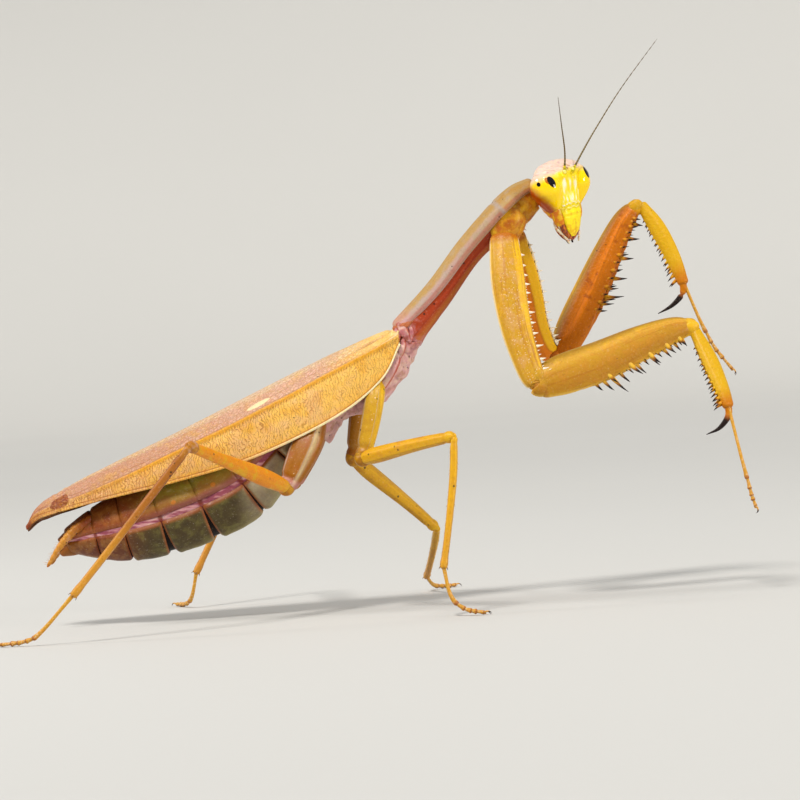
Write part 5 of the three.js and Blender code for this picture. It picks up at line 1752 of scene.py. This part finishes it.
def frame_at(points, run, down, side):
    """Way along a limb, the side its spines are on and the side away from the body."""
    way = way_along(points, run)
    under = square(down, way)
    out = way.cross(under).normalized()
    return way, under, out if out.y * side > 0 else -out


def spines(hide, points, girth, down, side, rows, index):
    """Rows of (from, to, lengths in turn, how far out, thickness) under a limb."""
    for start, end, lengths, out_share, thick in rows:
        for i, size in enumerate(lengths):
            run = lerp(start, end, i / max(len(lengths) - 1, 1))
            way, under, out = frame_at(points, run, down, side)
            wide, deep = along(girth[0], run), along(girth[1], run)
            foot = along(points, run) + under * (deep * 0.7) + out * (out_share * wide * 0.4)
            lean = (under + way * 0.42 + out * (out_share * 0.22)).normalized()
            tip = foot + lean * (size + deep * 0.3)
            bend = (under - way * 0.8) * (0.05 * size)
            thick_here = thick * (0.7 + 0.3 * size / max(lengths))
            thorn(hide, foot, tip, thick_here, (index + run, out_share, -1), bend, sides=10)


def grasping_leg(name, leg, finish):
    """Coxa, trochanter, femur, tibia and claw of a grasping leg."""
    hide = Hide()
    side, down = side_of(name), leg["under"]
    out = LEFT * side
    girth = GIRTH["foreleg"]
    coxa, femur, tibia = leg["coxa"], leg["femur"], leg["tibia"]

    def outer(turn):
        return turn if side < 0 else pi - turn

    def coxa_form(run, turn):
        turn = outer(turn) % tau
        body = ease(0.02, 0.12, run) * ease(1.0, 0.86, run)
        stand = 0.2 * bump(1.05, 0.34, turn) * body + 0.14 * bump(2.15, 0.3, turn) * body
        stand -= 0.28 * bump(1.6, 0.5, turn) * body
        stand -= 0.07 * bump(0.1, 0.45, turn) * body
        stand += 0.1 * bump(5.6, 0.35, turn) * body
        return stand - 0.22 * bump(0.955, 0.03, run)

    limb(hide, coxa, *girth["coxa"], AHEAD, out, rings=48, sides=40, form=coxa_form)
    # White teeth along the front edge, small near the body.
    count, edge = 14, 0.35 if side < 0 else -0.15
    tooth = sizes().coxa_tooth / MM
    for i in range(count):
        run = lerp(0.1, 0.93, i / (count - 1))
        way = way_along(coxa, run)
        up = square(AHEAD, way)
        wide, deep = along(girth["coxa"][0], run), along(girth["coxa"][1], run)
        foot = along(coxa, run) + out * (wide * edge) + up * (deep * 0.9)
        size = tooth * lerp(0.45, 1.25, i / (count - 1)) * (1 if i % 3 else 1.3)
        tip = foot + (up + out * 0.25 + way * 0.1).normalized() * (size * 1.2 + 0.2)
        thorn(hide, foot, tip, 0.25, (run, 0.5, 1), sides=9, marks=(-0.45, -1))
        for small in (0.35, 0.68):
            beside = along(coxa, run + small * 0.83 / count) + out * (wide * edge) + up * (deep * 0.9)
            tip = beside + (up + out * 0.25).normalized() * size * 0.55
            thorn(hide, beside, tip, 0.15, (run, 0.5, 1), sides=6, marks=(-0.3, -1))

    # The trochanter bridges coxa and femur.
    way_in, way_on = way_along(coxa, 1.0), way_along(femur, 0.0)
    knee = [coxa[-1] - way_in * 0.3, (coxa[-1] + femur[0]) / 2 + (way_in - way_on) * 0.35,
            femur[0] + way_on * 0.9]
    limb(hide, knee, [0.95, 1.15, 1.05], [1.3, 1.6, 1.8], -down, out, rings=14, sides=28, index=1.0)
    blob(hide, knee[1] + out * 0.55, (0.75, 0.5, 0.75), (1.0, 0.9, 0), sides=18, rings=12)
    heel = coxa[-1] - way_in * 1.3 + AHEAD * 0.75 + out * 0.6
    blob(hide, heel, (0.9, 0.55, 1.25), (0.9, 0.9, 0.3), sides=18, rings=12)

    deep = [d * leg["depth"] for d in girth["femur"][1]]

    def femur_form(run, turn):
        turn = turn % tau
        body = ease(0.03, 0.2, run) * ease(0.98, 0.84, run)
        armed = ease(0.22, 0.34, run) * ease(0.92, 0.84, run)
        stand = -0.14 * bump(0, 0.5, sin(turn)) * body
        stand += 0.1 * bump(pi / 2, 0.22, turn) * body
        for at in (5.12, 4.3):
            stand += 0.2 * bump(at, 0.26, turn) * armed
            stand += 0.07 * bump(at, 0.3, turn) * armed * sin(run * 95)
        stand -= 0.42 * bump(4.71, 0.38, turn) * armed
        for at in (0.62, pi - 0.62):
            stand += 0.06 * bump(at, 0.09, turn) * body
            stand -= 0.06 * bump(at - copysign(0.16, cos(at)), 0.1, turn) * body
        return stand - 0.1 * bump(0.935, 0.02, run)

    limb(hide, femur, girth["femur"][0], deep, -down, out, rings=64, sides=48, index=1.0, form=femur_form)
    # Lobes either side of the knee.
    bent = way_along(femur, 1.0)
    end = femur[-1] - bent * 0.35
    across = bent.cross(down).normalized()
    turn = bent.to_track_quat("Z", "Y").to_matrix()
    for face in (-1, 1):
        facing = 1.0 if (across * face).y * side > 0 else -1.0
        blob(hide, end + across * (face * 0.55) + down * 0.2, (0.45, 0.85, 1.05),
             (1.96, facing, 0.9), turn, sides=20, rings=14)

    inner = (1.0, 1.5, 0.8, 1.7, 0.8, 1.7, 0.85, 1.65, 0.8, 1.5, 0.75, 1.35, 0.7, 1.1)
    femur_rows = [
        (0.40, 0.82, (1.35, 1.9, 1.75, 1.55, 1.2), 0.9, 0.42),
        (0.335, 0.865, inner, -0.9, 0.36),
        (0.33, 0.45, (1.3, 1.9, 3.0, 1.6), 0.0, 0.38),
        (0.44, 0.8, (0.5,) * 12, 0.75, 0.16),
    ]
    spines(hide, femur, (girth["femur"][0], deep), down, side, femur_rows, 1)

    folded = (femur[0] - femur[-1]).normalized()

    def tibia_form(run, turn):
        turn = turn % tau
        body = ease(0.04, 0.2, run) * ease(1.0, 0.85, run)
        stand = -0.06 * bump(0, 0.5, sin(turn)) * body
        stand -= 0.2 * bump(4.71, 0.4, turn) * body
        stand += 0.1 * (bump(5.15, 0.3, turn) + bump(4.27, 0.3, turn)) * body
        return stand + 0.07 * bump(pi / 2, 0.3, turn) * body

    limb(hide, tibia, *girth["tibia"], -folded, out, rings=40, sides=32, index=2.0, form=tibia_form)
    inner = (0.4, 0.45, 0.5, 0.55, 0.6, 0.65, 0.7, 0.75, 0.8, 0.85, 0.95, 1.05, 1.2, 1.35)
    tibia_rows = [
        (0.22, 0.94, (0.5, 0.55, 0.6, 0.65, 0.7, 0.75, 0.85, 0.95, 1.1, 1.25), 0.75, 0.27),
        (0.16, 0.95, inner, -0.75, 0.27),
    ]
    spines(hide, tibia, girth["tibia"], folded, side, tibia_rows, 2)

    claw = leg["claw"]
    start = len(hide.points)
    limb(hide, claw, *girth["claw"], -folded, out, rings=24, sides=20, index=3.0, ends=(0.7, 0.2))
    for k in range(start, len(hide.points)):
        hide.marks[k] = 0.8 * ease(3.1, 3.62, hide.places[k][0])
    nodes = [f"{name}_{part}" for part in ("coxa", "femur", "tibia")]
    return make(name, hide, finish, nodes)


def walking_leg(name, leg, finish):
    """Coxa, trochanter, femur and tibia of a walking leg."""
    hide = Hide()
    side = side_of(name)
    out = LEFT * side
    girth = GIRTH[name.split("_")[0]]
    coxa, femur, tibia = leg["coxa"], leg["femur"], leg["tibia"]

    def coxa_form(run, turn):
        turn = (turn if side < 0 else pi - turn) % tau
        body = ease(0.05, 0.25, run) * ease(1.0, 0.8, run)
        stand = 0.2 * (bump(0.42, 0.22, turn) + bump(5.3, 0.24, turn)) * body
        stand -= (0.12 * bump(6.1, 0.4, turn) + 0.16 * bump(0.8, 0.25, turn)) * body
        return stand - 0.25 * bump(0.93, 0.05, run) * ease(0.9, 0.3, sin(turn))

    limb(hide, coxa, *girth["coxa"], AHEAD, out, rings=40, sides=36, form=coxa_form)
    hip_way, leg_way = way_along(coxa, 1.0), way_along(femur, 0.0)
    hip = [coxa[-1] - hip_way * 0.2, (coxa[-1] + femur[0]) / 2 + hip_way * 0.35, femur[0] + leg_way * 0.9]
    limb(hide, hip, [1.02, 1.12, 0.85], [1.02, 1.12, 0.85], UP, out, rings=14, sides=24, index=1.0)

    def femur_form(run, turn):
        body = ease(0.02, 0.15, run) * ease(1.0, 0.9, run)
        stand = 0.035 * sin(turn * 6) * body
        stand += 0.12 * bump(0.985, 0.03, run) - 0.07 * bump(0.945, 0.02, run)
        return stand - 0.06 * bump(0.035, 0.02, run)

    limb(hide, femur, *girth["femur"], UP, out, rings=56, sides=28, index=2.0, form=femur_form)
    knee, bent = femur[-1], way_along(femur, 1.0)
    turn = bent.to_track_quat("Z", "Y").to_matrix()
    across = bent.cross(UP).normalized()
    for face in (-1, 1):
        blob(hide, knee + across * (face * 0.36), (0.3, 0.55, 0.68), (2.99, face * 0.5, 0), turn,
             sides=16, rings=12)

    def tibia_form(run, turn):
        stand = 0.03 * sin(turn * 5) * ease(0.03, 0.12, run)
        return stand + 0.09 * bump(0.97, 0.05, run) - 0.06 * bump(0.04, 0.03, run)

    limb(hide, tibia, *girth["tibia"], LEFT, out, rings=64, sides=24, index=3.0, form=tibia_form)
    # Fine bristles all along both long parts, then four spurs at the foot.
    for points, index, size in ((femur, 2, girth["femur"]), (tibia, 3, girth["tibia"])):
        chance = random.Random(index + len(name))
        for _ in range(90 if index == 3 else 60):
            run = lerp(0.06, 0.97, chance.random())
            way = way_along(points, run)
            aside = turned(way, chance.uniform(0, tau))
            reach = (along(size[0], run) + along(size[1], run)) / 2
            foot = along(points, run) + aside * reach * 0.92
            tip = foot + aside * 0.2 + way * chance.uniform(0.25, 0.4)
            thorn(hide, foot, tip, 0.03, (index + run, 0, 0), sides=4, marks=(0.2, 0.8))
    way = way_along(tibia, 1.0)
    for k in range(4):
        aside = turned(way, pi / 2 * k + 0.6)
        foot = tibia[-1] - way * 0.3 + aside * 0.34
        thorn(hide, foot, foot + aside * 0.3 + way * 0.75, 0.12, (3.97, 0, 0), sides=8)
    nodes = [f"{name}_{part}" for part in ("coxa", "femur", "tibia")]
    return make(name, hide, finish, nodes)


# Where the five joints of a foot start and end along it, and their half width.
FOOT_JOINTS = [(0.0, 0.50, 0.30), (0.50, 0.66, 0.30), (0.66, 0.78, 0.30), (0.78, 0.86, 0.32),
               (0.86, 0.985, 0.26)]


def foot_piece(name, leg, finish):
    """Five joints, each wider at its end, with two claws and a pad between them."""
    hide = Hide()
    points = leg["tarsus"]
    fore = name.startswith("foreleg")
    slim = 0.88 if fore else 1.0
    for i, (start, end, half) in enumerate(FOOT_JOINTS):
        part = [along(points, lerp(start, end, k / 4)) for k in range(5)]
        for k, spot in enumerate(part):
            if not fore:
                spot.z = max(spot.z, 0.3)
        root = 0.78 if i else 1.0
        wide = [half * slim * s for s in (root, 0.82, 0.88, 1.0, 1.12)]

        def heel(run, turn, last=i == 4):
            return 0.0 if last else 0.07 * bump(0.93, 0.16, run) * ease(0, -1, sin(turn))

        limb(hide, part, wide, wide, UP if not fore else AHEAD, rings=20 if i == 0 else 12,
             sides=16, index=float(i), form=heel, ends=(0.6, 0.7))
        for k in (-1, 1):
            if i == 4 or fore and i == 0:
                continue
            way = way_along(part, 1.0)
            across = way.cross(AHEAD if fore else UP).normalized()
            foot = part[-1] + across * (k * 0.2) - way * 0.1
            thorn(hide, foot, foot + across * (k * 0.16) + way * 0.36, 0.07, (i + 0.5, 0, 0),
                  sides=6, marks=(0.1, 0.8))
    tip = along(points, 0.985)
    way = way_along(points, 1.0)
    if not fore:
        way = Vector((way.x, way.y, 0)).normalized()
        tip.z = 0.34
    up = UP if not fore else square(AHEAD, way)
    across = way.cross(up).normalized()
    for k in (-1, 1):
        claw = [tip + across * (k * 0.1), tip + way * 0.45 + across * (k * 0.3) + up * 0.16,
                tip + way * 0.85 + across * (k * 0.45) + up * 0.02,
                tip + way * 0.98 + across * (k * 0.46) - up * 0.26]
        start = len(hide.points)
        limb(hide, claw, [0.11, 0.09, 0.06, 0.015], [0.12, 0.1, 0.06, 0.015], up, rings=14,
             sides=10, index=4.0, ends=(0.7, 0.3))
        for n in range(start, len(hide.points)):
            hide.marks[n] = ease(4.2, 4.8, hide.places[n][0])
        hide.places[start:] = [(4.5, 0, 0)] * (len(hide.points) - start)
    blob(hide, tip + way * 0.2 - up * 0.1, (0.17, 0.17, 0.14), (4.5, 0, 0), sides=12, rings=8)
    if not fore:
        for spot in hide.points:
            spot.z = max(spot.z, 0.0)
    return make(f"{name}_foot", hide, finish, [f"{name}_tarsus"])


class MANTIS_OT_grasping_legs(bpy.types.Operator):
    """Makes the two grasping legs with their spines, teeth and feet"""

    bl_idname = "mantis.grasping_legs"
    bl_label = "Grasping legs"

    def execute(self, context):
        horn_leg, foot = grasping_finish(colours()), foot_finish(colours())
        for name in ("foreleg_right", "foreleg_left"):
            grasping_leg(name, LEGS[name], horn_leg)
            foot_piece(name, LEGS[name], foot)
        return {"FINISHED"}


class MANTIS_OT_walking_legs(bpy.types.Operator):
    """Makes the four walking legs and their feet"""

    bl_idname = "mantis.walking_legs"
    bl_label = "Walking legs"

    def execute(self, context):
        horn_leg, foot = leg_finish(colours()), foot_finish(colours())
        for name in ("midleg_right", "midleg_left", "hindleg_right", "hindleg_left"):
            walking_leg(name, LEGS[name], horn_leg)
            foot_piece(name, LEGS[name], foot)
        return {"FINISHED"}


# ---------------- add-on
STEPS = ("stage", "trunk", "abdomen", "wings", "head", "grasping_legs", "walking_legs")


class MANTIS_PT_maker(bpy.types.Panel):
    """Lists the steps in the sidebar, with the sizes and colours they use"""

    bl_label = "Praying mantis"
    bl_space_type = "VIEW_3D"
    bl_region_type = "UI"
    bl_category = "Mantis"

    def draw(self, context):
        column = self.layout.column(align=True)
        for step in STEPS:
            column.operator(f"mantis.{step}")
        for group in (context.scene.mantis_sizes, context.scene.mantis_colours):
            box = self.layout.box()
            for name in group.bl_rna.properties.keys():
                if name not in ("rna_type", "name"):
                    box.prop(group, name)


CLASSES = (
    MantisSizes,
    MantisColours,
    MANTIS_OT_stage,
    MANTIS_OT_trunk,
    MANTIS_OT_abdomen,
    MANTIS_OT_wings,
    MANTIS_OT_head,
    MANTIS_OT_grasping_legs,
    MANTIS_OT_walking_legs,
    MANTIS_PT_maker,
)


def register():
    for item in CLASSES:
        bpy.utils.register_class(item)
    bpy.types.Scene.mantis_sizes = PointerProperty(type=MantisSizes)
    bpy.types.Scene.mantis_colours = PointerProperty(type=MantisColours)


def unregister():
    del bpy.types.Scene.mantis_colours
    del bpy.types.Scene.mantis_sizes
    for item in reversed(CLASSES):
        bpy.utils.unregister_class(item)


def main():
    register()
    for step in STEPS:
        if getattr(bpy.ops.mantis, step)() != {"FINISHED"}:
            raise RuntimeError(f"step {step} did not finish")


if __name__ == "__main__":
    main()
